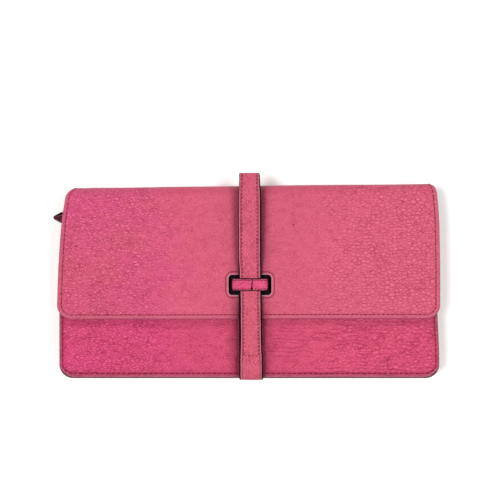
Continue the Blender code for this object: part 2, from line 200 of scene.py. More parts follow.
def new_object(name, points, faces, material, marks):
    """A mesh object from points in millimetres. marks holds point values the materials read."""
    mesh = bpy.data.meshes.new(name)
    mesh.from_pydata((np.asarray(points) * MM).tolist(), [], faces)
    mesh.materials.append(material)
    for key, values in marks.items():
        layer = mesh.attributes.new(key, "FLOAT", "POINT")
        layer.data.foreach_set("value", np.asarray(values, np.float32).ravel())
    mesh.shade_smooth()
    mesh.set_sharp_from_angle(angle=math.radians(50))
    obj = bpy.data.objects.new(name, mesh)
    bpy.context.scene.collection.objects.link(obj)
    return obj


def attach(obj, slot, body, *replaced):
    """Puts a piece on one body in place of CAD nodes. Given two bodies to blend between, it only
    bakes the piece's place into its mesh.
    """
    if isinstance(body, str):
        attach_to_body(obj, body)
    else:
        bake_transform(obj)
    if replaced:
        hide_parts(*replaced)


def closed_sheet(name, outer, inner, marks, material, keep=None):
    """A closed skin between two grids of points. keep says which cells exist.

    The underside takes the same marks, but its rim counts as cut edge.
    """
    rows, across = outer.shape[:2]
    count = rows * across
    index = np.arange(count).reshape(rows, across)
    corners = [index[:-1, :-1], index[:-1, 1:], index[1:, 1:], index[1:, :-1]]
    cells = np.stack(corners, axis=-1)
    kept = cells.reshape(-1, 4) if keep is None else cells[keep]
    ends = np.concatenate([kept[:, [0, 1]], kept[:, [1, 2]], kept[:, [2, 3]], kept[:, [3, 0]]])
    edges = np.sort(ends, axis=1)
    _, first, times_used = np.unique(edges, axis=0, return_index=True, return_counts=True)
    start, end = ends[first[times_used == 1]].T
    rim = np.stack([end, start, start + count, end + count], axis=1)
    faces = np.concatenate([kept, kept[:, ::-1] + count, rim])
    points = np.concatenate([outer.reshape(-1, 3), inner.reshape(-1, 3)])
    used = np.unique(faces)
    place = np.zeros(len(points), int)
    place[used] = np.arange(len(used))
    kept_marks = {}
    for key, values in marks.items():
        under = np.where(values < PAINTED_RIM, -1.0, values)
        kept_marks[key] = np.concatenate([np.ravel(values), np.ravel(under)])[used]
    return new_object(name, points[used], place[faces].tolist(), material, kept_marks)


def tube_faces(start, count, around):
    """The faces of a closed skin over rings of points, with flat caps."""
    index = start + np.arange(count * around).reshape(count, around)
    turned = np.roll(index, -1, axis=1)
    faces = np.stack([index[:-1], turned[:-1], turned[1:], index[1:]], axis=-1)
    return faces.reshape(-1, 4).tolist() + [index[0][::-1].tolist(), index[-1].tolist()]


def tube(name, rings, material, around_inset=FAR_IN, along_inset=FAR_IN):
    """A closed skin over rings, with each point's distance in from an edge."""
    rings = np.array(rings)
    count, around = rings.shape[:2]
    inset = np.minimum(around_inset, np.reshape(along_inset, (-1, 1)))
    marks = {"inset": np.broadcast_to(inset, (count, around))}
    return new_object(name, rings.reshape(-1, 3), tube_faces(0, count, around), material, marks)


def threads(name, runs, pitch, radius=0.28):
    """Stitches along runs of (points, normals): each dips into its holes at both ends."""
    points, faces = [], []
    for path, normals in runs:
        along = lengths(path)
        number = max(1, round(along[-1] / pitch))
        step = along[-1] / number
        for stitch in range(number):
            faces += tube_faces(len(points), len(THREAD_RINGS), THREAD_SIDES)
            for shift, width in THREAD_RINGS:
                at = (stitch + 0.5) * step + shift * step * THREAD_LENGTH
                up = sample(normals, along, at)
                forward = sample(path, along, at + 0.1) - sample(path, along, at - 0.1)
                side = np.cross(up, forward)
                side /= max(np.linalg.norm(side), 1e-9)
                center = sample(path, along, at) - up * radius * (1 - width) * 1.6
                for turn in range(THREAD_SIDES):
                    angle = 2 * math.pi * turn / THREAD_SIDES
                    reach = side * math.cos(angle) + up * math.sin(angle) * 0.8
                    points.append(center + reach * radius * width)
    return new_object(name, points, faces, MAT["thread"], {})


def flat_run(x, y, z, up=1.0):
    """A stitch path on a flat face, with its normals."""
    points = xyz(x, y, z)
    return points, np.tile((0.0, 0.0, up), (len(points), 1))


def u_path(half, low, high, radius, inset, low_inset=None):
    """Down the left side, round the corner, along the low end and up the right side."""
    base = low + (inset if low_inset is None else low_inset)
    side = half - inset
    turn = max(radius - inset, 0.5)
    down = np.arange(high, base + turn, -0.5)
    angles = np.linspace(0, math.pi / 2, 10)
    corner_x = side - turn * (1 - np.cos(angles))
    corner_y = base + turn * (1 - np.sin(angles))
    flat = np.arange(-side + turn, side - turn, 0.8)[1:]
    level = np.full(len(flat), base)
    edge = np.full(len(down), side)
    xs = np.concatenate([-edge, -corner_x, flat, corner_x[::-1], edge])
    ys = np.concatenate([down, corner_y, level, corner_y[::-1], down[::-1]])
    return xs, ys


# ---- materials


class Shader:
    """A material's node tree, with short ways to add nodes and join them.

    A scale is in turns per millimetre, one number or one for each axis.
    """

    def __init__(self, name, color, roughness=0.5, specular=0.5, metallic=0.0):
        self.color = color
        self.material = bpy.data.materials.new(name)
        self.material.use_nodes = True
        self.tree = self.material.node_tree
        self.surface = self.tree.nodes["Principled BSDF"].inputs
        self.surface["Roughness"].default_value = roughness
        self.surface["Metallic"].default_value = metallic
        self.surface["Specular IOR Level"].default_value = specular
        self.place = self.add("ShaderNodeTexCoord").outputs["Object"]
        split = self.add("ShaderNodeSeparateXYZ", {"Vector": self.place})
        self.x, self.y = split.outputs["X"], split.outputs["Y"]

    def add(self, kind, inputs=None, **settings):
        node = self.tree.nodes.new(kind)
        for key, value in settings.items():
            setattr(node, key, value)
        for key, value in (inputs or {}).items():
            self.feed(node.inputs[key], value)
        return node

    def feed(self, socket, value):
        if isinstance(value, bpy.types.NodeSocket):
            self.tree.links.new(value, socket)
        elif socket.type == "RGBA":
            socket.default_value = (*value, 1.0)
        else:
            socket.default_value = value

    def math(self, operation, a, b=0.0, clamp=False):
        node = self.add("ShaderNodeMath", {0: a, 1: b}, operation=operation, use_clamp=clamp)
        return node.outputs[0]

    def times(self, a, b):
        return self.math("MULTIPLY", a, b)

    def plus(self, a, b):
        return self.math("ADD", a, b)

    def minus(self, a, b):
        return self.math("SUBTRACT", a, b)

    def off(self, value, middle):
        """How far a value is from a middle one, either way."""
        return self.math("ABSOLUTE", self.minus(value, middle))

    def ramp(self, value, low, high, to_low=0.0, to_high=1.0):
        inputs = {"Value": value, "From Min": low, "From Max": high}
        inputs.update({"To Min": to_low, "To Max": to_high})
        node = self.add("ShaderNodeMapRange", inputs, interpolation_type="SMOOTHSTEP")
        return node.outputs["Result"]

    def scaled(self, scale, rotation=0.0):
        scale = scale if isinstance(scale, tuple) else (scale, scale, scale)
        inputs = {"Vector": self.place, "Scale": tuple(value / MM for value in scale)}
        inputs["Rotation"] = (0.0, 0.0, rotation)
        return self.add("ShaderNodeMapping", inputs).outputs["Vector"]

    def noise(self, scale, detail=3.0, rotation=0.0):
        inputs = {"Vector": self.scaled(scale, rotation), "Scale": 1.0}
        inputs.update({"Detail": detail, "Roughness": 0.55})
        return self.add("ShaderNodeTexNoise", inputs).outputs["Fac"]

    def wander(self, value, rub, reach):
        """A value made ragged by a noise, up to half of reach either way."""
        return self.plus(value, self.times(self.minus(rub, 0.5), reach))

    def mix(self, amount, a, b):
        node = self.add("ShaderNodeMix", {"Factor": amount, 6: a, 7: b}, data_type="RGBA")
        return node.outputs[2]

    def blend(self, amount, a, b):
        node = self.add("ShaderNodeMix", {"Factor": amount, 2: a, 3: b}, data_type="FLOAT")
        return node.outputs[0]

    def mark(self, name):
        return self.add("ShaderNodeAttribute", attribute_name=name).outputs["Fac"]

    def paint(self, tone, amount):
        """Lays a tone over the colour, as strongly as amount says."""
        self.color = self.mix(amount, self.color, tone)

    def finish(self, height, strength, depth, rough=None):
        """Joins the colour, a bump of a depth in millimetres and a roughness to the surface."""
        self.feed(self.surface["Base Color"], self.color)
        if rough is not None:
            self.feed(self.surface["Roughness"], rough)
        inputs = {"Height": height, "Strength": strength, "Distance": depth * MM}
        self.feed(self.surface["Normal"], self.add("ShaderNodeBump", inputs).outputs["Normal"])
        return self.material


def toned(color, factor):
    """A colour times one factor, or one for each channel."""
    return tuple(float(channel) for channel in np.multiply(color, factor))


def pebbles(shader, scale, rotation=0.0, warp=0.35):
    """Domed pebbles, 0 to 1, and the thin valley lines between them, 0 to 1."""
    place = shader.scaled(scale, rotation)
    bent = shader.add("ShaderNodeTexNoise", {"Vector": place, "Scale": 0.9, "Detail": 1.0})
    inputs = {0: bent.outputs["Color"], "Scale": warp * 2}
    moved = shader.add("ShaderNodeVectorMath", inputs, operation="SCALE").outputs[0]
    place = shader.add("ShaderNodeVectorMath", {0: place, 1: moved}, operation="ADD").outputs[0]
    inputs = {"Vector": place, "Scale": 1.0, "Randomness": 0.9}
    cells = shader.add("ShaderNodeTexVoronoi", inputs, feature="DISTANCE_TO_EDGE")
    gap = cells.outputs["Distance"]
    dome = shader.math("POWER", shader.math("MINIMUM", shader.times(gap, 2.4), 1.0), 0.6)
    return dome, shader.ramp(gap, 0.16, 0.0)


# Where the grain starts to change and is fully changed, to the right and to the left
RIGHT_ZONE = (4 * MM, 62 * MM)
LEFT_ZONE = (-16 * MM, -60 * MM)


def zoned_grain(shader, right_grain, left_grain, middle_grain):
    """Round pebbles to the right, drawn-out ones to the left and a fine grain between.

    Gives the height, the valley lines, the local strength and how far left a point is.
    """
    coarse, coarse_line = pebbles(shader, (0.43, 0.66, 0.6), warp=0.5)
    fine, fine_line = pebbles(shader, (0.95, 1.05, 1.0), warp=0.5)
    drawn, drawn_line = pebbles(shader, (0.50, 0.90, 0.8), rotation=-0.3, warp=0.75)
    across = shader.wander(shader.x, shader.noise(0.05, 2.0), 50 * MM)
    to_right = shader.ramp(across, *RIGHT_ZONE)
    to_left = shader.ramp(across, *LEFT_ZONE)
    height = shader.blend(to_right, shader.times(fine, 0.7), coarse)
    line = shader.blend(to_right, fine_line, coarse_line)
    depth = shader.blend(to_right, middle_grain, right_grain)
    height = shader.blend(to_left, height, drawn)
    line = shader.blend(to_left, line, drawn_line)
    return height, line, shader.blend(to_left, depth, left_grain), to_left


def leather(name, tones, seam, grain, lip=(0.42, 0.15), rubbed=0.3, left_tint=0.0, creased=False,
            flecks=(1.5, 1.8, 1.5), fleck_depth=0.42, wear_and_shade=None):
    """Pebbled leather with a duller border outside its stitches and a painted cut edge.

    tones: base, valley (painted shade in the grain), top (painted highlight on the pebbles),
    border and paint colours. seam: the stitches' distance in.
    grain: right, left and middle strength. lip: where the paint starts and is full.
    A last function adds one piece's own stains, flecks and painted shade.
    """
    base, valley, top, border, paint = tones
    shader = Shader(name, base, specular=0.2)
    height, line, depth, to_left = zoned_grain(shader, *grain)
    depth = shader.times(depth, shader.ramp(shader.noise(0.16), 0.35, 0.66, 0.8, 1.12))
    broken = shader.noise((0.28, 0.4, 0.28))
    line = shader.times(line, shader.ramp(broken, 0.42, 0.62, 0.25, 1.0))
    tone = shader.noise((0.025, 0.035, 0.025))
    shader.paint(toned(base, LEFT_TINT), shader.times(to_left, left_tint))
    shader.paint(toned(base, 0.96), shader.ramp(tone, 0.32, 0.7))
    # Painted highlight on the pebbles' tops and painted shade in the valley lines between them.
    high = shader.math("MULTIPLY", shader.minus(height, 0.45), depth, clamp=True)
    low = shader.math("MULTIPLY", line, depth, clamp=True)
    shader.paint(top, high)
    shader.paint(valley, low)
    fleck = shader.noise(flecks)
    shader.paint(valley, shader.ramp(fleck, 0.52, 0.75, 0.0, fleck_depth))
    shader.paint(top, shader.ramp(fleck, 0.48, 0.25, 0.0, fleck_depth))
    if creased:
        crease = crease_lines(shader)
        # Painted shade in the creases.
        shader.paint(toned(valley, 0.9), shader.times(crease, 0.42))
        height = shader.minus(height, shader.times(crease, 0.9))

    inset = shader.mark("inset")
    rub = shader.noise(0.35, 4.0)
    outside = shader.ramp(inset, seam + 0.15, seam - 0.5)
    shader.paint(border, shader.times(outside, shader.ramp(rub, 0.3, 0.62, 0.35, 0.85)))
    furrow = shader.ramp(shader.off(inset, seam), 0.45, 0.1, 0.0, 0.7)
    shader.paint(toned(valley, 0.7), furrow)
    if wear_and_shade:
        wear_and_shade(shader, inset, rub)
    ragged = shader.wander(inset, rub, 0.35)
    pale = shader.ramp(shader.off(ragged, lip[0] + 0.1), 0.3, 0.1, 0.0, rubbed)
    shader.paint(PALE_EDGE, pale)
    shader.paint(paint, shader.ramp(ragged, *lip))

    red = shader.add("ShaderNodeSeparateColor", {"Color": shader.color}).outputs["Red"]
    dull_paint = shader.ramp(red, 0.01, 0.12, 0.02, 0.2)
    shader.feed(shader.surface["Specular IOR Level"], dull_paint)
    height = shader.plus(shader.times(height, depth), shader.times(fleck, -0.35))
    height = shader.plus(height, shader.times(shader.noise(3.0, 4.0), 0.18))
    return shader.finish(height, 1.0, 0.36, shader.blend(low, 0.44, 0.6))


def crease_lines(shader):
    """Thin wavy creases that run mostly across, stronger to the right, and the drawn ones."""
    inputs = {"Vector": shader.scaled((0.05, 0.15, 0.1), 0.06), "Scale": 1.0, "Distortion": 8.0}
    inputs.update({"Detail": 2.0, "Detail Scale": 1.6, "Detail Roughness": 0.5})
    wave = shader.add("ShaderNodeTexWave", inputs, bands_direction="Y").outputs["Fac"]
    broken = shader.noise((0.09, 0.16, 0.1), 2.0)
    line = shader.times(shader.ramp(wave, 0.16, 0.0), shader.ramp(broken, 0.40, 0.60, 0.05, 0.8))
    line = shader.times(line, shader.ramp(shader.x, -20 * MM, 40 * MM, 0.35, 1.0))
    return shader.math("MAXIMUM", line, shader.times(shader.mark("crease"), 0.8))


def strap_shade_and_dye(shader, left, right, amount, top):
    """Painted shade beside the strap, where it stands off the leather, with some dye transfer, up
    to top, fading out over left and right millimetres.
    """
    across = shader.wander(shader.x, shader.noise((0.35, 0.2, 0.35)), 1.8 * MM)
    from_right = shader.ramp(across, (5.6 + right) * MM, 5.0 * MM)
    from_left = shader.ramp(across, -(5.4 + left) * MM, -4.8 * MM)
    shade_and_dye = shader.times(from_left, from_right)
    at_keeper = shader.ramp(shader.off(shader.y, -1.5 * MM), 4 * MM, 14 * MM, 0.55, 1.0)
    below_top = shader.ramp(shader.y, (top + 3) * MM, top * MM)
    upper_half = shader.ramp(shader.y, -10 * MM, 6 * MM, 1.0, 0.75)
    for weaker in (at_keeper, below_top, upper_half):
        shade_and_dye = shader.times(shade_and_dye, weaker)
    shader.paint(SHADE_AND_DYE_RED, shader.times(shade_and_dye, amount))


def add_spots(shader, spots):
    """Small flecks: each has a place and a size in millimetres, and a colour."""
    place = shader.scaled((1.0, 1.0, 0.0))
    for at, size, tone in spots:
        gap = shader.add("ShaderNodeVectorMath", {0: place, 1: (*at, 0.0)}, operation="DISTANCE")
        shader.paint(tone, shader.ramp(gap.outputs["Value"], size, size * 0.45, 0.0, 0.85))


def flap_shade_and_wear(shader, inset, rub):
    """The painted shade and dye beside the strap, the flecks and the slot's seam, pale line and
    black painted edge.
    """
    strap_shade_and_dye(shader, 6.6, 6.4, 0.9, 60.0)
    add_spots(shader, FLAP_SPOTS)
    slot = shader.mark("slot")
    ragged = shader.wander(slot, rub, 0.3)
    shader.paint(SLOT_SEAM, shader.ramp(shader.off(slot, SLOT_RING), 0.42, 0.15, 0.0, 0.8))
    shader.paint(SLOT_PALE, shader.ramp(shader.off(ragged, 0.45), 0.36, 0.12, 0.0, 0.65))
    shader.paint(BLACK_PAINT, shader.ramp(ragged, 0.38, 0.2))


# Half sizes of the painted black shade round the keeper's foot, under the flap's slot.
SLOT_SHADE_HALF_X = 12.0
SLOT_SHADE_HALF_Y = 6.2


def front_shade_and_dye(shader, inset, rub):
    """The painted shade and dye beside the strap, the painted shadow below the flap's edge,
    painted shade towards the rolled edges and a painted black shade round the keeper's foot, seen
    through the slot.
    """
    valley = FRONT_TONES[1]
    strap_shade_and_dye(shader, 7.8, 8.8, 0.74, FLAP_BOTTOM)
    # Painted shadow of the flap's lower edge, on a strip of the front just below it.
    below = shader.ramp(shader.y, (FLAP_BOTTOM - 6.0) * MM, (FLAP_BOTTOM - 0.2) * MM, 0.0, 0.34)
    above = shader.ramp(shader.y, (FLAP_BOTTOM + 4) * MM, (FLAP_BOTTOM + 1) * MM)
    shader.paint(toned(valley, 0.6), shader.times(below, above))
    # Painted shade as the face rolls down towards its stitches.
    shader.paint(valley, shader.ramp(inset, FRONT_STITCH + 3.2, FRONT_STITCH, 0.0, 0.3))
    # A painted black shade round the keeper's foot, where the flap's slot looks down into shadow.
    ragged = shader.times(shader.noise(0.5, 4.0), 1.6 * MM)
    across = shader.plus(shader.math("ABSOLUTE", shader.x), ragged)
    along = shader.plus(shader.off(shader.y, SLOT_MID_Y * MM), ragged)
    inside_x = shader.ramp(across, (SLOT_SHADE_HALF_X + 2) * MM, SLOT_SHADE_HALF_X * MM)
    inside_y = shader.ramp(along, (SLOT_SHADE_HALF_Y + 2) * MM, SLOT_SHADE_HALF_Y * MM)
    shader.paint(BLACK_PAINT, shader.times(inside_x, inside_y))


def keeper_wear(shader, inset, rub):
    add_spots(shader, KEEPER_SPOTS)


def thread_material(name, base):
    shader = Shader(name, base, 0.8, 0.1)
    twist = shader.noise(4.0, 2.0, rotation=0.7)
    shader.paint(toned(base, 0.45), shader.ramp(twist, 0.4, 0.6))
    return shader.finish(twist, 0.6, 0.08)


def woven(name, base, count):
    """A fine plain weave: warp and weft ridges that cross, with a soft slub."""
    dark = toned(base, 0.55)
    shader = Shader(name, dark, 0.85, 0.2)
    inputs = {"Vector": shader.scaled(count), "Scale": 1.0, "Distortion": 0.3}
    warp = shader.add("ShaderNodeTexWave", inputs, bands_direction="X").outputs["Fac"]
    weft = shader.add("ShaderNodeTexWave", inputs, bands_direction="Y").outputs["Fac"]
    height = shader.times(warp, weft)
    shader.paint(base, shader.ramp(height, 0.0, 0.6))
    shader.paint(dark, shader.ramp(shader.noise((0.25, 1.4, 0.5)), 0.35, 0.7, 0.0, 0.35))
    return shader.finish(height, 0.6, 0.08)


def thin_leather(name, base):
    """Split leather with a fine even grain, as on pockets that are not rubbed."""
    shader = Shader(name, base, 0.55, 0.3)
    fine, _ = pebbles(shader, 2.0)
    dark = toned(base, 0.7)
    shader.paint(dark, shader.ramp(shader.noise(0.05), 0.35, 0.7, 0.0, 0.5))
    shader.paint(dark, shader.times(shader.minus(1.0, fine), 0.35))
    return shader.finish(fine, 0.5, 0.05)


def metal(name, base):
    shader = Shader(name, base, metallic=1.0)
    rub = shader.noise(1.3, 5.0)
    shader.paint(toned(base, 0.5), shader.ramp(rub, 0.45, 0.75, 0.0, 0.7))
    return shader.finish(rub, 0.2, 0.05, shader.ramp(rub, 0.3, 0.7, 0.2, 0.5))


def fibre_board(name, base):
    shader = Shader(name, base, 0.9, 0.2)
    fibre = shader.noise((0.6, 2.5, 1.0), 6.0)
    shader.paint(toned(base, 0.6), shader.ramp(fibre, 0.35, 0.7))
    return shader.finish(fibre, 0.4, 0.05)


# Linear colours. A leather's tones are its base, valley (painted shade), top (painted highlight),
# border and paint.
BLACK_PAINT = (0.010, 0.005, 0.008)
PALE_EDGE = (0.46, 0.24, 0.30)
SLOT_SEAM = (0.13, 0.01, 0.03)
SLOT_PALE = (0.42, 0.27, 0.32)
LEFT_TINT = (1.02, 0.74, 1.22)
# Painted shade beside the strap, with some dye transfer
SHADE_AND_DYE_RED = (0.13, 0.006, 0.020)
SPECK_RED = (0.045, 0.004, 0.010)
FLECK_ORANGE = (0.62, 0.20, 0.06)
FLAP_TONES = (
    (0.50, 0.072, 0.130),
    (0.32, 0.024, 0.060),
    (0.63, 0.132, 0.208),
    (0.44, 0.084, 0.138),
    (0.33, 0.085, 0.150),
)
FRONT_TONES = (
    (0.52, 0.052, 0.126),
    (0.30, 0.015, 0.054),
    (0.67, 0.098, 0.196),
    (0.30, 0.052, 0.094),
    (0.12, 0.036, 0.052),
)
STRAP_TONES = (
    (0.515, 0.077, 0.131),
    (0.27, 0.022, 0.048),
    (0.64, 0.135, 0.195),
    (0.48, 0.110, 0.155),
    BLACK_PAINT,
)
# The keeper's border tone, lighter than its base, is a painted highlight along the band's rounded
# edges.
KEEPER_TONES = (
    (0.56, 0.056, 0.150),
    (0.24, 0.010, 0.044),
    (0.76, 0.160, 0.270),
    (0.70, 0.170, 0.265),
    BLACK_PAINT,
)
PULLER_TONES = (
    (0.065, 0.004, 0.016),
    (0.03, 0.002, 0.007),
    (0.20, 0.030, 0.065),
    (0.09, 0.010, 0.028),
    BLACK_PAINT,
)
FLAP_SPOTS = (
    ((21.6, 34.8), 0.45, SPECK_RED),
    ((22.2, 29.2), 0.6, SPECK_RED),
    ((92.8, 30.6), 0.4, SPECK_RED),
    ((-70.6, 36.8), 0.4, SPECK_RED),
    ((-88.9, 18.0), 0.6, SPECK_RED),
)
KEEPER_SPOTS = (
    ((2.1, -4.0), 0.55, FLECK_ORANGE),
    ((3.3, -4.15), 0.45, FLECK_ORANGE),
    ((1.0, -3.6), 0.5, BLACK_PAINT),
)

MAT = {
    "flap": leather(
        "flap_leather_finish", FLAP_TONES, FLAP_STITCH, (0.8, 0.85, 0.65),
        rubbed=0.0, left_tint=1.0, wear_and_shade=flap_shade_and_wear,
    ),
    "front": leather(
        "front_leather_finish", FRONT_TONES, FRONT_STITCH, (0.8, 0.9, 0.85),
        lip=(0.6, 0.3), rubbed=0.2, left_tint=1.0, creased=True, wear_and_shade=front_shade_and_dye,
    ),
    "back": leather("back_leather_finish", FRONT_TONES, FRONT_STITCH, (0.7, 0.7, 0.6)),
    "strap": leather(
        "strap_leather_finish", STRAP_TONES, 0.95, (0.8, 0.8, 0.8),
        lip=(0.36, 0.2), rubbed=0.25, flecks=(1.9, 0.6, 1.5), fleck_depth=0.62,
    ),
    "keeper": leather(
        "keeper_leather_finish", KEEPER_TONES, 0.85, (0.9, 0.9, 0.9),
        lip=(0.6, 0.4), rubbed=0.0, wear_and_shade=keeper_wear,
    ),
    "puller": leather(
        "puller_leather_finish", PULLER_TONES, 0.9, (0.7, 0.7, 0.7), lip=(0.7, 0.3),
    ),
    "gusset": thin_leather("gusset_leather_finish", (0.42, 0.045, 0.10)),
    "card": thin_leather("card_leather_finish", (0.42, 0.05, 0.11)),
    "lining": woven("lining_finish", (0.26, 0.035, 0.07), 2.2),
    "tape": woven("zip_tape_finish", (0.20, 0.012, 0.04), 1.6),
    "board": fibre_board("stiffener_finish", (0.42, 0.36, 0.28)),
    "thread": thread_material("seam_thread", (0.15, 0.005, 0.030)),
    "metal": metal("zip_metal_finish", (0.72, 0.52, 0.27)),
}


# ---- the folded skin: flap, fold and spine

FOLD_SKEW = 0.012
FOLD_SINK = 0.8
FOLD_OUT = 0.6
FOLD_BLEND = (
    "spine", "flap",
    (0.0, FOLD_Y * MM, (FLAP_Z - FOLD_RADIUS + 1.0) * MM),
    (0.0, (FOLD_Y - FOLD_RADIUS + 0.5) * MM, FLAP_Z * MM),
)
BACK_BLEND = (
    "wallet_body", "spine",
    (0.0, (FOLD_Y - BACK_RADIUS) * MM, 0.0),
    (0.0, FOLD_Y * MM, BACK_RADIUS * MM),
)


def edge_at(along, side):
    """Where the flap's left (-1) or right (1) edge lies. It narrows towards the fold."""
    fold = FLAT_LENGTH
    stations = (8, 18, 26, 38, 47, 55, 59, fold, fold + 2, fold + 4, fold + 5.5, fold + 8, 200)
    left = (98.5, 98.2, 97.9, 97.2, 96.5, 95.7, 95.1, 94.6, 94.2, 93.4, 92.6, 91.0, 90.2)
    right = (97.1, 97.1, 97.1, 96.9, 96.7, 96.3, 96.0, 95.7, 95.5, 95.1, 94.7, 93.4, 91.8)
    return np.interp(along, stations, left if side < 0 else right)


def drawn_in(x, left, right):
    """Moves the sides to new half widths, and leaves the middle alone."""
    edge = np.where(x < 0, left, right)
    return x * (1 + (edge / HALF_WIDTH - 1) * (np.abs(x) / HALF_WIDTH) ** 2)


def fold_point(x, along, lift):
    """The folded leather's outer face, raised by lift. along starts at the lower edge."""
    x = drawn_in(x, edge_at(along, -1), edge_at(along, 1))
    angle = np.clip((along - FLAT_LENGTH) / FOLD_RADIUS, 0.0, math.pi / 2)
    down = np.maximum(along - FLAT_LENGTH - BEND_LENGTH, 0.0)
    reach = FOLD_RADIUS + lift
    y = FLAP_BOTTOM + np.minimum(along, FLAT_LENGTH) + reach * np.sin(angle)
    z = FLAP_Z - FOLD_RADIUS + reach * np.cos(angle) - down
    skew = (FOLD_SKEW * x + FOLD_OUT) * smooth(20.0, FLAT_LENGTH, along)
    rise = (0.45 + 0.3 * smooth(-60.0, 60.0, x)) * (1 - smooth(0.0, 13.0, along))
    return xyz(x, y + skew + rise, z)


def flap_fall(along):
    """The flap sinks a little towards the fold, with all its layers."""
    return -FOLD_SINK * smooth(FLAT_LENGTH - 16, FLAT_LENGTH + 4, along)


def flap_swell(x, along):
    """The flap's soft relief: low swells, a sag beside the slot and creases at the sides."""
    creases = bell(noise_at(x + 0.5 * along, along - 0.28 * x, 13.0, 3.6, 7.7), 0.0, 0.09)
    creases = creases * ((1 - smooth(-70, -10, x)) + 0.35 * smooth(25, 80, x))
    swell = 0.28 * noise_at(x, along, 46.0, 34.0, 3.1) - 0.10 * creases
    return swell - 0.35 * bell(x, 0.0, 26.0) * bell(along, 18.0, 22.0)


def past_slot_corner(x, along):
    """How far a point lies past the middles of the slot's corner arcs."""
    across = np.abs(x) - (SLOT_HALF_X - SLOT_RADIUS)
    return across, np.abs(along - (SLOT_MID_Y - FLAP_BOTTOM)) - (SLOT_HALF_Y - SLOT_RADIUS)


def slot_distance(x, along):
    """Distance out from the slot's rounded edge."""
    qx, qy = past_slot_corner(x, along)
    outside = np.hypot(np.maximum(qx, 0), np.maximum(qy, 0)) + np.minimum(np.maximum(qx, qy), 0)
    return outside - SLOT_RADIUS


def round_slot(x, along):
    """Draws the grid in round the slot's corners, fading with distance."""
    middle = SLOT_MID_Y - FLAP_BOTTOM
    qx, qy = past_slot_corner(x, along)
    corner = (qx > 0) & (qy > 0)
    square = np.maximum(np.maximum(qx, qy), 1e-6)
    straight = np.maximum(np.hypot(qx, qy), 1e-6)
    fade = 1 - smooth(SLOT_RADIUS, SLOT_RADIUS + 3.0, square)
    factor = np.where(corner, 1 + fade * (square / straight - 1), 1.0)
    new_x = np.sign(x) * (SLOT_HALF_X - SLOT_RADIUS + qx * factor)
    new_along = middle + np.sign(along - middle) * (SLOT_HALF_Y - SLOT_RADIUS + qy * factor)
    return np.where(corner, new_x, x), np.where(corner, new_along, along)


def flap_grid(end, inset=0.0):
    """Grid of (x, along) for a skin of the flap, and which cells lie outside the slot."""
    half = HALF_WIDTH - inset
    near, ring = SLOT_HALF_X, 3.4
    near_slot = ((0.9, near - SLOT_RADIUS), (0.3, near), (0.35, near + ring))
    positive = lines(0.0, *near_slot, (0.9, half - 4), (0.27, half))
    across = np.concatenate([-positive[:0:-1], positive])
    middle = SLOT_MID_Y - FLAP_BOTTOM
    low, high = middle - SLOT_HALF_Y, middle + SLOT_HALF_Y
    below_slot = ((0.27, inset + 4), (0.8, low - ring), (0.35, low), (0.3, low + SLOT_RADIUS))
    above_slot = ((0.8, high - SLOT_RADIUS), (0.3, high), (0.35, high + ring), (0.9, FLAT_LENGTH))
    round_fold = ((0.55, FLAT_LENGTH + BEND_LENGTH), (0.9, end))
    up = lines(inset, *below_slot, *above_slot, *round_fold)
    x, along = np.meshgrid(across, up)
    cell_x = (x[1:, 1:] + x[1:, :-1]) / 2
    cell_up = (along[1:, 1:] + along[:-1, 1:]) / 2
    keep = (np.abs(cell_x) > SLOT_HALF_X) | (cell_up < low) | (cell_up > high)
    x, along = round_slot(x, along)
    return *round_corner(x, along, half, inset, FLAP_RADIUS - inset), keep


def flap_border(x, along):
    return inset_of(x, along, HALF_WIDTH, 0.0, 1000.0, FLAP_RADIUS)


def flap_relief(x, along):
    """How far the flap's outer face stands above its plain folded form."""
    inset, slot = flap_border(x, along), slot_distance(x, along)
    relief = flap_swell(x, along) * smooth(0.0, 6.0, inset) + flap_fall(along)
    relief = relief - 0.22 * bell(inset, FLAP_STITCH, 0.38) - 0.18 * bell(slot, SLOT_RING, 0.33)
    relief = relief + 0.16 * bell(inset, 1.15, 0.75) + 0.10 * bell(slot, 0.8, 0.5)
    return relief - edge_drop(inset, 0.85) - edge_drop(slot, 0.45)


def make_flap_skin():
    x, along, keep = flap_grid(FLAP_END)
    relief = flap_relief(x, along)
    border, slot = flap_border(x, along), slot_distance(x, along)
    lip = np.maximum(1 - smooth(0.5, 1.1, border), 1 - smooth(0.3, 0.8, slot))
    lip = lip * (1 - smooth(FLAT_LENGTH, FLAT_LENGTH + 8, along))
    thickness = SKIN + (EDGE_LIP - SKIN) * lip
    outer = fold_point(x, along, relief)
    inner = fold_point(x, along, np.minimum(relief, flap_fall(along) + 0.05) - thickness)
    marks = {"inset": border, "slot": slot}
    skin = closed_sheet("flap_skin", outer, inner, marks, MAT["flap"], keep)
    attach(skin, "flap_leather", FOLD_BLEND, "flap_leather", "spine_leather")


def make_flap_layer(name, material, top_z, thickness, ripple, inset, slot_gap, last):
    """A sheet under the flap's leather, as far as last along it."""
    x, along, keep = flap_grid(FLAP_END - 1.0, inset)
    keep = keep & (slot_distance(x, along)[:-1, :-1] > slot_gap) & (along[1:, :-1] <= last)
    top = flap_fall(along) - (FLAP_Z - top_z)
    low = top - thickness + ripple * noise_at(x, along, 14.0, 9.0, 5.0)
    outer, inner = fold_point(x, along, top), fold_point(x, along, low)
    return closed_sheet(name, outer, inner, {}, material, keep)


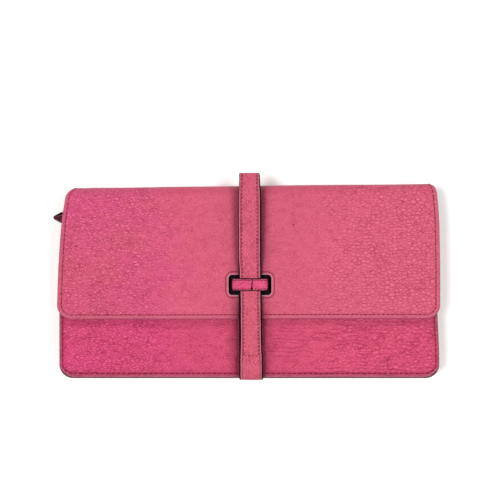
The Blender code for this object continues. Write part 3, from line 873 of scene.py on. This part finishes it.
def make_flap_layers():
    """The lining runs over the fold and down the spine. The board ends at the fold."""
    lining = make_flap_layer(
        "flap_lining_skin", MAT["lining"], LINING_TOP - 0.1, 0.3, 0.08, 1.3, -0.2, FLAP_END,
    )
    attach(lining, "lining", FOLD_BLEND, "flap_lining", "spine_lining")
    board = make_flap_layer(
        "flap_board", MAT["board"], BOARD_TOP - 0.08, 0.32, 0.0, 2.6, 0.4, FLAT_LENGTH,
    )
    attach(board, "stiffener", "flap", "flap_stiffener")


def folded_run(x, along):
    """A stitch path on the flap's face, with its normals."""
    relief = flap_relief(x, along)
    points = fold_point(x, along, relief - 0.1)
    normals = fold_point(x, along, relief + 1.0) - points
    return points, normals / np.linalg.norm(normals, axis=1)[:, None]


def slot_ring_path():
    """Once round the slot, at the stitches' distance."""
    radius = SLOT_RADIUS + SLOT_RING
    half_x, half_y = SLOT_HALF_X - SLOT_RADIUS, SLOT_HALF_Y - SLOT_RADIUS
    middle = SLOT_MID_Y - FLAP_BOTTOM
    points = []
    for quarter, (sign_x, sign_y) in enumerate(((1, 1), (-1, 1), (-1, -1), (1, -1))):
        for angle in (quarter + np.arange(7) / 6) * math.pi / 2:
            x = sign_x * half_x + radius * math.cos(angle)
            points.append((x, middle + sign_y * half_y + radius * math.sin(angle)))
    points.append(points[0])
    last = len(points) - 1
    return sample(np.array(points), np.arange(last + 1), np.linspace(0, last, 8 * last + 8)).T


def make_flap_stitches():
    path = u_path(HALF_WIDTH, 0.0, FLAP_END - 2, FLAP_RADIUS, FLAP_STITCH)
    border = threads("flap_stitches", [folded_run(*path)], STITCH_PITCH, 0.31)
    attach(border, "flap_leather", FOLD_BLEND)
    ring = threads("slot_stitches", [folded_run(*slot_ring_path())], 2.0, 0.2)
    attach(ring, "flap_leather", "flap")


# ---- back

BACK_STRAIGHT = SEAM_Z - BACK_RADIUS
BACK_BEND = BACK_RADIUS * math.pi / 2
BACK_CORNER = 6.0


def back_fold_point(x, along, lift):
    """From the spine's seam, round the back's top edge, to the groove."""
    angle = np.clip((along - BACK_STRAIGHT) / BACK_RADIUS, 0.0, math.pi / 2)
    run = np.maximum(along - BACK_STRAIGHT - BACK_BEND, 0.0)
    reach = BACK_RADIUS + lift
    shift = (FOLD_SKEW * x + FOLD_OUT - FOLD_SINK) * (1 - smooth(0.0, 7.0, run))
    y = FOLD_Y - BACK_RADIUS + reach * np.cos(angle) - run + shift
    z = BACK_RADIUS - reach * np.sin(angle) + np.maximum(BACK_STRAIGHT - along, 0.0)
    return xyz(x, y, z)


def back_relief(inset):
    return -edge_drop(inset, 0.6) - 0.2 * bell(inset, FRONT_STITCH, 0.35)


def make_back_skin(name, outer, inner, inset, body, replaced):
    """A back skin. Its rows are turned over, so that it faces down."""
    marks = {"inset": inset[::-1]}
    skin = closed_sheet(name, outer[::-1], inner[::-1], marks, MAT["back"])
    attach(skin, "body_leather", body, replaced)


def make_back_fold():
    bent = BACK_STRAIGHT + BACK_BEND
    end = bent + FOLD_Y - BACK_RADIUS - BAND_BOTTOM
    up = lines(0, (1.0, BACK_STRAIGHT), (0.4, bent), (0.6, end - 3), (0.27, end))
    x, along = np.meshgrid(columns(HALF_WIDTH, 4, 1.5), up)
    stations = (0, BACK_STRAIGHT, bent, bent + 3, end)
    left = np.interp(along, stations, (edge_at(FLAP_END, -1), 91.3, 93.5, 96.4, 97.4))
    right = np.interp(along, stations, (edge_at(FLAP_END, 1), 93.6, 94.8, 96.6, 97.4))
    shown_x = drawn_in(x, left, right)
    inset = np.minimum(HALF_WIDTH - np.abs(x), end - along)
    outer = back_fold_point(shown_x, along, back_relief(inset))
    inner = back_fold_point(shown_x, along, -SKIN)
    make_back_skin("back_fold_skin", outer, inner, inset, BACK_BLEND, "back_upper_band")
    seam_x = np.arange(-HALF_WIDTH + 2.4, HALF_WIDTH - 2.4, 0.8)
    run = flat_run(*back_fold_point(seam_x, end - FRONT_STITCH, -0.1).T, up=-1.0)
    attach(threads("back_band_stitches", [run], STITCH_PITCH), "body_leather", "wallet_body")


def make_back_panel():
    bottom, top = back_low[1], back_high[1]
    up = lines(bottom, (0.3, bottom + 4), (1.3, top - 3), (0.3, top))
    x, y = np.meshgrid(columns(HALF_WIDTH, 4, 1.3), up)
    x, y = round_corner(x, y, HALF_WIDTH, bottom, BACK_CORNER)
    inset = inset_of(x, y, HALF_WIDTH, bottom, top, BACK_CORNER)
    hollow = 0.25 * smooth(2.0, 14.0, inset) * (0.6 + 0.4 * noise_at(x, y, 40.0, 30.0, 2.0))
    creases = bell(noise_at(x, y, 24.0, 7.0, 9.0), 0.0, 0.08)
    relief = back_relief(inset) - hollow * smooth(0.0, 20.0, np.hypot(x, y)) - 0.08 * creases
    lip = 1 - smooth(0.5, 1.1, inset)
    outer, inner = xyz(x, y, -relief), xyz(x, y, SKIN + 0.7 * lip)
    make_back_skin("back_panel_skin", outer, inner, inset, "wallet_body", "back_lower_panel")
    seam_x = np.arange(-HALF_WIDTH + 2.4, HALF_WIDTH - 2.4, 0.8)
    border = u_path(HALF_WIDTH, bottom, top - 1.5, BACK_CORNER, FRONT_STITCH)
    runs = [flat_run(*border, 0.28, up=-1.0), flat_run(seam_x, top - FRONT_STITCH, 0.28, up=-1.0)]
    attach(threads("back_stitches", runs, STITCH_PITCH), "body_leather", "wallet_body")


# ---- front

FRONT_HALF = front_high[0] + 0.3
FRONT_SHIFT = -0.8
FRONT_BOTTOM = front_low[1] - 0.3
FRONT_TOP = front_high[1]
FRONT_Z = front_high[2]
FRONT_RADIUS = 7.2
# Each crease: where it starts and ends, and its depth
FRONT_CREASES = (
    ((56.5, -21.5), (63.0, -28.5), 0.34),
    ((63.0, -28.5), (71.5, -36.5), 0.24),
    ((41.0, -27.0), (70.0, -22.0), 0.26),
    ((46.0, -30.5), (66.0, -33.0), 0.20),
    ((66.0, -42.5), (90.0, -30.5), 0.26),
    ((76.0, -43.5), (91.0, -38.0), 0.24),
    ((20.0, -27.0), (46.0, -31.0), 0.20),
    ((-30.0, -24.0), (-88.0, -20.5), 0.28),
    ((-86.0, -29.0), (-60.0, -33.0), 0.18),
)


def line_bell(x, y, start, end, width):
    """A soft ridge along a line between two points, fading at its ends."""
    ahead = np.subtract(end, start)
    length = np.hypot(*ahead)
    unit = ahead / length
    along = (x - start[0]) * unit[0] + (y - start[1]) * unit[1]
    off = (y - start[1]) * unit[0] - (x - start[0]) * unit[1] + 0.5 * np.sin(along / 2.3)
    return bell(off, 0.0, width) * smooth(0, 3, along) * (1 - smooth(length - 4, length, along))


def front_place(x, y):
    """Shifts the front a little left, flares its lower right side, tapers it to the fold."""
    flare = 0.9 * smooth(0, FRONT_HALF, x) * (1 - smooth(-40, -14, y))
    along = y - FLAP_BOTTOM
    shown = np.where(x < 0, edge_at(along, -1), edge_at(along, 1)) - 0.7
    taper = (shown - HALF_WIDTH) * (np.abs(x) / HALF_WIDTH) ** 2 * np.sign(x)
    above = smooth(-16, -4, y)
    return x + (FRONT_SHIFT + flare) * (1 - above) + taper * above


def front_seam(y):
    """How far in the front's stitches run. They lie further in along the bottom."""
    low = 1 - smooth(3, 7, y - FRONT_BOTTOM)
    return FRONT_STITCH + (FRONT_BOTTOM_STITCH - FRONT_STITCH) * low


def front_relief(x, y):
    """The front panel's height above its flat form, its inset and its creases."""
    inset = inset_of(x, y, FRONT_HALF, FRONT_BOTTOM, FRONT_TOP, FRONT_RADIUS)
    stitch = front_seam(y)
    swell = 0.35 * noise_at(x, y, 36.0, 20.0, 1.3)
    wrinkles = bell(noise_at(x, y, 15.0, 3.4, 4.4), 0.0, 0.11)
    small = bell(noise_at(x + 0.3 * y, y, 7.0, 2.6, 8.8), 0.0, 0.13)
    inner = smooth(1.5, 6.0, inset)
    strong = 0.6 + 0.4 * smooth(0, 50, np.abs(x + 5))
    creases = sum(depth * line_bell(x, y, start, end, 0.5) for start, end, depth in FRONT_CREASES)
    relief = -0.9 * (1 - smooth(0.0, 15.0, inset)) - edge_drop(inset, 0.9)
    relief = relief + (swell - creases - (0.2 * wrinkles + 0.1 * small) * strong) * inner
    relief = relief - 0.26 * bell(inset, stitch, 0.4) + 0.10 * bell(inset, stitch - 1.15, 0.7)
    relief = relief - 0.55 * bell(x, 0.8, 7.5) * (1 - smooth(-46, -30, y))
    return relief, inset, np.clip(creases * inner / 0.3, 0.0, 1.0)


def front_under(relief):
    """The level under the front's leather, which follows its deeper dents."""
    return np.minimum(FRONT_Z - SKIN, FRONT_Z + relief - 0.35)


def make_front_skin():
    half, low, high = FRONT_HALF, FRONT_BOTTOM, FRONT_TOP
    up = lines(low, (0.3, low + 5), (0.5, FLAP_BOTTOM + 3), (1.6, high - 3), (0.4, high))
    x, y = np.meshgrid(columns(half, 4.5, 0.6), up)
    x, y = round_corner(x, y, half, low, FRONT_RADIUS)
    relief, inset, creases = front_relief(x, y)
    lip = 1 - smooth(0.4, 1.0, inset)
    floor = front_under(relief)
    lip_floor = np.minimum(floor, FRONT_Z - SKIN - (EDGE_LIP - SKIN + 0.2) * lip)
    shown_x = front_place(x, y)
    outer = xyz(shown_x, y, FRONT_Z + relief)
    inner = xyz(shown_x, y, np.where(lip > 0, lip_floor, floor))
    low_edge = 0.15 * (1 - smooth(2.0, 5.0, y - low))
    corner = 0.45 * (1 - smooth(2.0, 7.0, y - low)) * smooth(half - 8.0, half - 3.0, np.abs(x))
    inset = inset * FRONT_STITCH / front_seam(y) - low_edge - corner
    marks = {"inset": inset, "crease": creases}
    skin = closed_sheet("front_skin", outer, inner, marks, MAT["front"])
    attach(skin, "body_leather", "front", "front_panel")
    xs, ys = u_path(half, low, high - 2.0, FRONT_RADIUS, FRONT_STITCH, FRONT_BOTTOM_STITCH)
    relief, _, _ = front_relief(xs, ys)
    run = flat_run(front_place(xs, ys), ys, FRONT_Z + relief - 0.02)
    attach(threads("front_stitches", [run], 2.75, 0.3), "body_leather", "front")


def make_front_layer(name, node, material, slot):
    """A board or a lining under the front's leather, with the leather's taper and dents."""
    low, high = box_mm(node)
    up = lines(low[1], (0.5, low[1] + 8), (1.6, high[1]))
    x, y = np.meshgrid(lines(-FRONT_HALF, (1.4, FRONT_HALF)), up)
    x, y = round_corner(x, y, FRONT_HALF, low[1], FRONT_RADIUS)
    relief, _, _ = front_relief(x, y)
    gap = FRONT_Z - SKIN - high[2]
    top = np.minimum(high[2], front_under(relief) - 0.3 * gap)
    shown_x = front_place(x, y) - (front_high[0] - high[0] + 0.6) * x / FRONT_HALF
    outer, inner = xyz(shown_x, y, top), xyz(shown_x, y, top - (high[2] - low[2]))
    attach(closed_sheet(name, outer, inner, {}, material), slot, "front", node)


# ---- gusset

GUSSET_LOW = 1.25
GUSSET_HIGH = FRONT_Z - 1.95
GUSSET_INSET = 1.15
GUSSET_THICK = 0.7


def make_gusset():
    """One folded strip closes the left side, the bottom and the right side."""
    xs, ys = u_path(FRONT_HALF, FRONT_BOTTOM, FRONT_TOP - 1.5, FRONT_RADIUS, 0.0)
    path = np.stack([xs, ys], axis=-1)
    inward = left_normals(path)
    steps = np.linspace(-1, 1, 17)
    heights = GUSSET_LOW + (steps + 1) / 2 * (GUSSET_HIGH - GUSSET_LOW)
    fold = 1 - np.abs(steps) ** 1.35
    station = np.arange(len(path), dtype=float)
    depth = 3.7 - 1.2 * np.abs(inward[:, 1]) + 0.25 * noise_at(station, 0.0, 26.0, 1.0, 6.0)
    creases = 0.2 * noise_at(station[:, None] + 6 * steps, steps, 9.0, 0.5, 2.5)
    rings = []
    for number, (point, normal) in enumerate(zip(path, inward)):
        face = GUSSET_INSET + (depth[number] + creases[number]) * fold
        shift = (steps + 1) / 2 * (front_place(*point) - point[0])
        reach = np.concatenate([face, face[::-1] + GUSSET_THICK])
        x = point[0] + normal[0] * reach + np.concatenate([shift, shift[::-1]])
        z = np.concatenate([heights, heights[::-1]])
        rings.append(xyz(x, point[1] + normal[1] * reach, z))
    skin = tube("gusset_skin", rings, MAT["gusset"])
    body = ("wallet_body", "front", (0.0, 0.0, GUSSET_LOW * MM), (0.0, 0.0, GUSSET_HIGH * MM))
    attach(skin, "lining", body, "gusset_left", "gusset_right", "bottom_wall")


# ---- strap

STRAP_HALF = 4.95
STRAP_STITCH_X = 3.65
CROSS_STITCH_Y = -37.6
ROOT_STITCH_ROW = 4
STRAP_CROWN = 0.15
# A band's side: how far it reaches past the face's edge, and at which share of the thickness
STRAP_SIDE = ((0.35, 0.08), (0.7, 0.25), (0.95, 0.5), (1.0, 0.72), (0.8, 0.92), (0.4, 1.0))
STRAP_BLEND = (
    "front", "strap",
    (0.0, (ROOT_Y + 0.3) * MM, 17.0 * MM),
    (0.0, (ROOT_Y + 5.0) * MM, 22.0 * MM),
)


def catmull(where, at, values):
    """A smooth curve through values at the given stations."""
    slopes = np.gradient(values, at)
    spot = np.clip(np.searchsorted(at, where, side="right") - 1, 0, len(at) - 2)
    width = at[spot + 1] - at[spot]
    t = (where - at[spot]) / width
    start = (2 * t**3 - 3 * t**2 + 1) * values[spot] + (t**3 - 2 * t**2 + t) * width * slopes[spot]
    end = (-2 * t**3 + 3 * t**2) * values[spot + 1] + (t**3 - t**2) * width * slopes[spot + 1]
    return start + end


def strap_path():
    """The middle of the strap's upper face, from its root in the seam to its tip: (y, z) rows."""
    low_y = ROOT_Y + 1.0
    rows = np.array([
        (low_y + 2.9, ROOT_Z + 3.2),
        (low_y + 2.2, ROOT_Z + 4.8),
        (low_y + 1.1, ROOT_Z + 6.2),
        (low_y + 0.15, ROOT_Z + 7.6),
        (low_y, ROOT_Z + 9.2),
        (low_y + 0.5, ROOT_Z + 11.2),
        (low_y + 2.2, ROOT_Z + 12.9),
        (low_y + 5.5, 22.8),
        (-37.0, 23.7),
        (-28.0, 24.3),
        (-19.6, 24.6),
        (-8.0, 24.45),
        (-1.3, 24.2),
        (6.0, 24.7),
        (20.0, 26.8),
        (34.0, 27.6),
        (46.0, 27.2),
        (STRAP_TIP - 0.9, 25.6),
    ])
    at = lengths(rows)
    dense = np.arange(0, at[-1], 0.4)
    return np.stack([catmull(dense, at, column) for column in rows.T], axis=-1)


def strap_at(y):
    """The strap's half width, middle and painted side reach, left and right, at each y."""
    stations = (-50, -39, -31, -9, 7, 12, 42, 53)
    half = np.interp(y, stations, (5.3, 5.3, 4.95, 4.85, 5.1, 5.2, 5.2, 4.8))
    middle = np.interp(y, stations, (0.6, 0.55, 0.5, 0.3, -0.05, -0.3, -0.3, -0.35))
    left = np.interp(y, stations, (0.75, 0.75, 1.1, 1.2, 0.7, 0.4, 0.35, 0.35))
    right = np.interp(y, stations, (0.75, 0.75, 0.8, 0.8, 0.85, 0.9, 0.85, 0.6))
    return half, middle, left, right


def band_section(half, margin, fine, side, count):
    """Once round a band from its left edge: columns of x, reach past it, depth and inset."""
    face = [(x, 0.0, 0.0) for x in columns(half, margin, 0.4, fine)]
    right = [(half, reach, deep) for reach, deep in side]
    under = [(x, 0.0, 1.0) for x in np.linspace(half - 0.3, 0.3 - half, count)]
    left = [(-half, -reach, deep) for reach, deep in side[::-1]]
    x, reach, deep = np.array(face + right + under + left).T
    inset = np.where((np.abs(x) == half) & (deep > 0), -1.0, half - np.abs(x) + 0.3)
    return x, reach, deep, inset


def make_strap():
    """A face and a lining sewn back to back, in one skin that wraps round the bottom edge."""
    curve = strap_path()
    normal = left_normals(curve)
    across, paint, deep, inset = band_section(STRAP_HALF, 0.8, 0.2, STRAP_SIDE, 15)
    sewn = smooth(CROSS_STITCH_Y - 3.0, CROSS_STITCH_Y + 1.0, curve[:, 0])
    run = lengths(curve)
    tip_cut = edge_drop(run[-1] - run, 0.9)
    rings = []
    for point, up, at, join, cut in zip(curve, normal, run, sewn, tip_cut):
        half, middle, left, right = strap_at(point[0])
        wave = 0.07 * noise_at(at, np.sign(across) * 9, 3.0, 3.0, 2.2)
        side_reach = paint * (np.where(across < 0, left, right) + wave)
        edge_wave = np.sign(across) * wave * (np.abs(across) > STRAP_HALF - 0.35)
        x = (across * half / STRAP_HALF + edge_wave + side_reach) * (1 - 0.10 * cut) + middle
        furrow = 0.26 * bell(np.abs(across), STRAP_STITCH_X, 0.34) * join
        grain = 0.05 * noise_at(across, at, 1.3, 3.4, 4.0)
        relief = (furrow + STRAP_CROWN * (across / STRAP_HALF) ** 2 + grain) * (deep == 0)
        thickness = 0.85 + 1.45 * join
        center = thickness / 2
        drop = center + (deep * thickness + relief - center) * (1 - 0.75 * cut)
        rings.append(xyz(x, point[0] - up[0] * drop, point[1] - up[1] * drop))
    skin = tube("strap_skin", rings, MAT["strap"], inset)
    attach(skin, "strap_leather", STRAP_BLEND, "strap_face", "strap_lining", "strap_root")
    make_strap_stitches(curve, normal)


def strap_run(x, at, up, sunk, stretch=1.0):
    """A stitch path on the strap's face at x from its middle, with its normals."""
    drop = sunk + STRAP_CROWN * (x / STRAP_HALF) ** 2
    shown_x = x * stretch + strap_at(at[0])[1]
    points = xyz(shown_x, at[0] - up[0] * drop, at[1] - up[1] * drop)
    return points, xyz(0 * points[:, 0], *up)


def make_strap_stitches(curve, normal):
    """Rows along both sides, and one row across at the seam and one at the root."""
    above = (curve[:, 0] > CROSS_STITCH_Y) & (curve[:, 0] < STRAP_TIP - 1.6)
    line, up = curve[above], normal[above]
    stretch = strap_at(line[:, 0])[0] / STRAP_HALF
    across = np.linspace(-STRAP_STITCH_X, STRAP_STITCH_X, 12)
    runs = [strap_run(side * STRAP_STITCH_X, line.T, up.T, 0.2, stretch) for side in (-1, 1)]
    runs.append(strap_run(across, line[0], up[0], 0.05))
    attach(threads("strap_stitches", runs, 1.9, 0.26), "strap_leather", "strap")
    run = strap_run(across, curve[ROOT_STITCH_ROW], normal[ROOT_STITCH_ROW], 0.1)
    attach(threads("strap_root_stitches", [run], 1.9, 0.16), "strap_leather", "front")


# ---- keeper

KEEPER_HALF = keeper_high[0] - 0.25
KEEPER_BAND = (keeper_high[1] - keeper_low[1]) / 2 - 0.35
KEEPER_MID = (keeper_high[1] + keeper_low[1]) / 2
KEEPER_TOP = keeper_high[2] + 0.3
KEEPER_THICK = 1.2
KEEPER_CORNER = 2.0
KEEPER_STEP = 0.35
BUTT_X = 1.0
BUTT_GAP = 0.07
KEEPER_SIDE = ((0.251, 0.091), (0.35, 0.3), (0.35, 0.9), (0.0, 1.0))


def keeper_sag(x):
    return 0.12 * (1 - (x / KEEPER_HALF) ** 2)


def keeper_loop_path():
    """Once round the loop's outer face, between the butt seam's sides: rows of x, z, nx, nz."""
    half, low, high, radius = KEEPER_HALF, keeper_low[2], KEEPER_TOP, KEEPER_CORNER
    rows = [(BUTT_X + BUTT_GAP, high, 0.0, 1.0), (BUTT_X + 0.5, high, 0.0, 1.0)]
    for number, (side, end) in enumerate(((1, high), (1, low), (-1, low), (-1, high))):
        center_x = side * (half - radius)
        center_z = np.clip(end, low + radius, high - radius)
        for step in range(9):
            angle = math.radians(90 - 90 * number - 90 * step / 8)
            nx, nz = math.cos(angle), math.sin(angle)
            rows.append((center_x + radius * nx, center_z + radius * nz, nx, nz))
    rows += [(BUTT_X - 0.5, high, 0.0, 1.0), (BUTT_X - BUTT_GAP, high, 0.0, 1.0)]
    rows = np.array(rows)
    at = lengths(rows[:, :2])
    return sample(rows, at, np.linspace(0, at[-1], int(at[-1] / KEEPER_STEP)))


def make_keeper():
    """A closed band whose ends butt together in a puckered, slightly ragged seam."""
    path = keeper_loop_path()
    across, reach, deep, inset = band_section(KEEPER_BAND, 0.5, 0.17, KEEPER_SIDE, 9)
    across = across + reach
    share = across / KEEPER_BAND
    face = deep == 0
    furrow = 0.14 * bell(np.abs(across), KEEPER_BAND - 0.75, 0.25) * face
    crown = 0.32 * share**2 * face
    rings = []
    for x, z, nx, nz in path:
        over = smooth(0.5, 1.0, nz)
        side = np.sign(x - BUTT_X)
        pucker = 0.30 * bell(x, BUTT_X, 1.1) * over * (deep < 0.5)
        drop = deep * KEEPER_THICK + furrow + crown + keeper_sag(x) * over + pucker
        slant = 0.16 * share * bell(x, BUTT_X, 1.2)
        notch = side * 0.3 * bell(x, BUTT_X, 0.5) * smooth(-0.2, -KEEPER_BAND, across)
        ragged = side * 0.13 * np.sin(across * 2.6) * bell(x, BUTT_X, 0.4)
        wide = across * (1 - 0.05 * bell(x, BUTT_X, 1.0) * over)
        shift = (slant + notch + ragged) * over
        rings.append(xyz(x - nx * drop + shift, KEEPER_MID + wide, z - nz * drop))
    run = np.linspace(0.0, len(path) * KEEPER_STEP, len(path))
    at_seam = np.where(np.minimum(run, run[-1] - run) < 0.1, -0.6, 2.0)
    skin = tube("keeper_skin", rings, MAT["keeper"], inset, at_seam)
    attach(skin, "keeper_leather", "front", "keeper_loop")
    runs = []
    for side in (-1, 1):
        for start, end in ((-8.2, BUTT_X - 0.9), (BUTT_X + 0.9, 8.2)):
            x = np.linspace(start, end, 20)
            y = KEEPER_MID + side * (KEEPER_BAND - 0.75)
            runs.append(flat_run(x, y, KEEPER_TOP - keeper_sag(x) - 0.30))
    attach(threads("keeper_stitches", runs, 1.6, 0.19), "keeper_leather", "front")


# ---- puller


def make_puller():
    """A pointed leather tab, folded over the link, with painted edges."""
    start, tip = puller_high[0], puller_low[0]
    middle = (puller_low[1] + puller_high[1]) / 2
    stations = (start, start - 1.2, start - 3.5, tip + 5.4, tip + 3.6, tip + 1.4, tip + 0.4, tip)
    halves = (1.3, 2.0, 3.3, 3.4, 2.7, 1.5, 1.0, 0.55)
    steps = np.concatenate([np.linspace(-1, 1, 13), np.linspace(0.96, -0.96, 13)])
    upper = np.arange(26) < 13
    face = 0.95 - 0.3 * steps**2 + 0.15 * bell(steps, 0.75, 0.15)
    height = puller_low[2] + np.where(upper, face, 0.25 * steps**2)
    rings = []
    for x in lines(tip, (0.3, start))[::-1]:
        half = np.interp(-x, np.negative(stations), halves)
        curl = 0.12 * (1 - smooth(tip, start - 6.0, x)) * (1 + 0.3 * steps)
        rings.append(xyz(x, middle + steps * half, height + curl))
    inset = (1 - np.abs(steps)) * 3.3 - 1.1 * (steps > 0)
    skin = tube("puller_skin", rings, MAT["puller"], inset)
    attach(skin, "strap_leather", "puller", "zip_puller")


# ---- carried-over nodes


def finish_nodes():
    """Each CAD node that stays gets a full material."""
    cards = [f"card_slot_{wall}_{number}" for wall in ("rear", "front") for number in range(1, 5)]
    metal_parts = ["zip_teeth_upper", "zip_teeth_lower", "zip_top_stop", "zip_bottom_stop"]
    finishes = {
        "lining": ["zip_pocket_lining", "card_backing_rear", "note_divider"],
        "tape": ["zip_tape_upper", "zip_tape_lower"],
        "metal": metal_parts + ["zip_slider", "puller_link"],
        "card": cards,
    }
    for finish, nodes in finishes.items():
        for node in nodes:
            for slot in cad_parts[node].material_slots:
                slot.link = "OBJECT"
                slot.material = MAT[finish]


# ---- room, light and camera

WORLD_STRENGTH = 0.44
PLANE_DISTANCE = 0.42
FRAME_WIDTH = 0.2547
VIEW_Y = 0.0162


def make_floor():
    bpy.ops.mesh.primitive_plane_add(size=6.0, location=(0.0, 0.0, -0.0002))
    floor = bpy.context.active_object
    floor.name = "table"
    shader = Shader("table_top", (0.88, 0.89, 0.87), 0.7, 0.2)
    shader.paint((0.90, 0.905, 0.885), shader.noise(0.004, 2.0))
    shader.feed(shader.surface["Base Color"], shader.color)
    floor.data.materials.append(shader.material)


def add_to_scene(name, data, place):
    obj = bpy.data.objects.new(name, data)
    obj.location = place
    bpy.context.scene.collection.objects.link(obj)
    return obj


def make_lamp(name, place, energy):
    data = bpy.data.lights.new(name, "AREA")
    data.shape = "DISK"
    data.size = 0.4
    data.energy = energy
    lamp = add_to_scene(name, data, place)
    lamp.rotation_euler = (-Vector(place)).to_track_quat("-Z", "Y").to_euler()


def make_light():
    """A soft white surround that the camera sees as pure white, and two lamps."""
    world = bpy.data.worlds.new("studio")
    bpy.context.scene.world = world
    world.use_nodes = True
    tree = world.node_tree
    background = tree.nodes["Background"]
    background.inputs["Color"].default_value = (1.0, 1.0, 1.0, 1.0)
    path = tree.nodes.new("ShaderNodeLightPath")
    strength = tree.nodes.new("ShaderNodeMapRange")
    strength.inputs["To Min"].default_value = WORLD_STRENGTH
    strength.inputs["To Max"].default_value = 1.0
    tree.links.new(path.outputs["Is Camera Ray"], strength.inputs["Value"])
    tree.links.new(strength.outputs["Result"], background.inputs["Strength"])
    make_lamp("key", (-0.52, 0.0, 1.2), 12.6)
    make_lamp("fill", (0.6, 0.0, 1.2), 8.6)


def make_camera():
    """Straight above the wallet, as in the photo."""
    camera = bpy.data.cameras.new("camera")
    camera.angle = 2 * math.atan(FRAME_WIDTH / 2 / PLANE_DISTANCE)
    camera.clip_start = 0.01
    scene = bpy.context.scene
    scene.camera = add_to_scene("camera", camera, (0.0, VIEW_Y, FLAP_Z * MM + PLANE_DISTANCE))
    scene.view_settings.view_transform = "Standard"


make_flap_skin()
make_flap_stitches()
make_flap_layers()
make_back_fold()
make_back_panel()
make_front_skin()
make_front_layer("front_board", "front_stiffener", MAT["board"], "stiffener")
make_front_layer("front_lining_skin", "front_lining", MAT["lining"], "lining")
make_gusset()
make_strap()
make_keeper()
make_puller()
finish_nodes()
make_floor()
make_light()
make_camera()
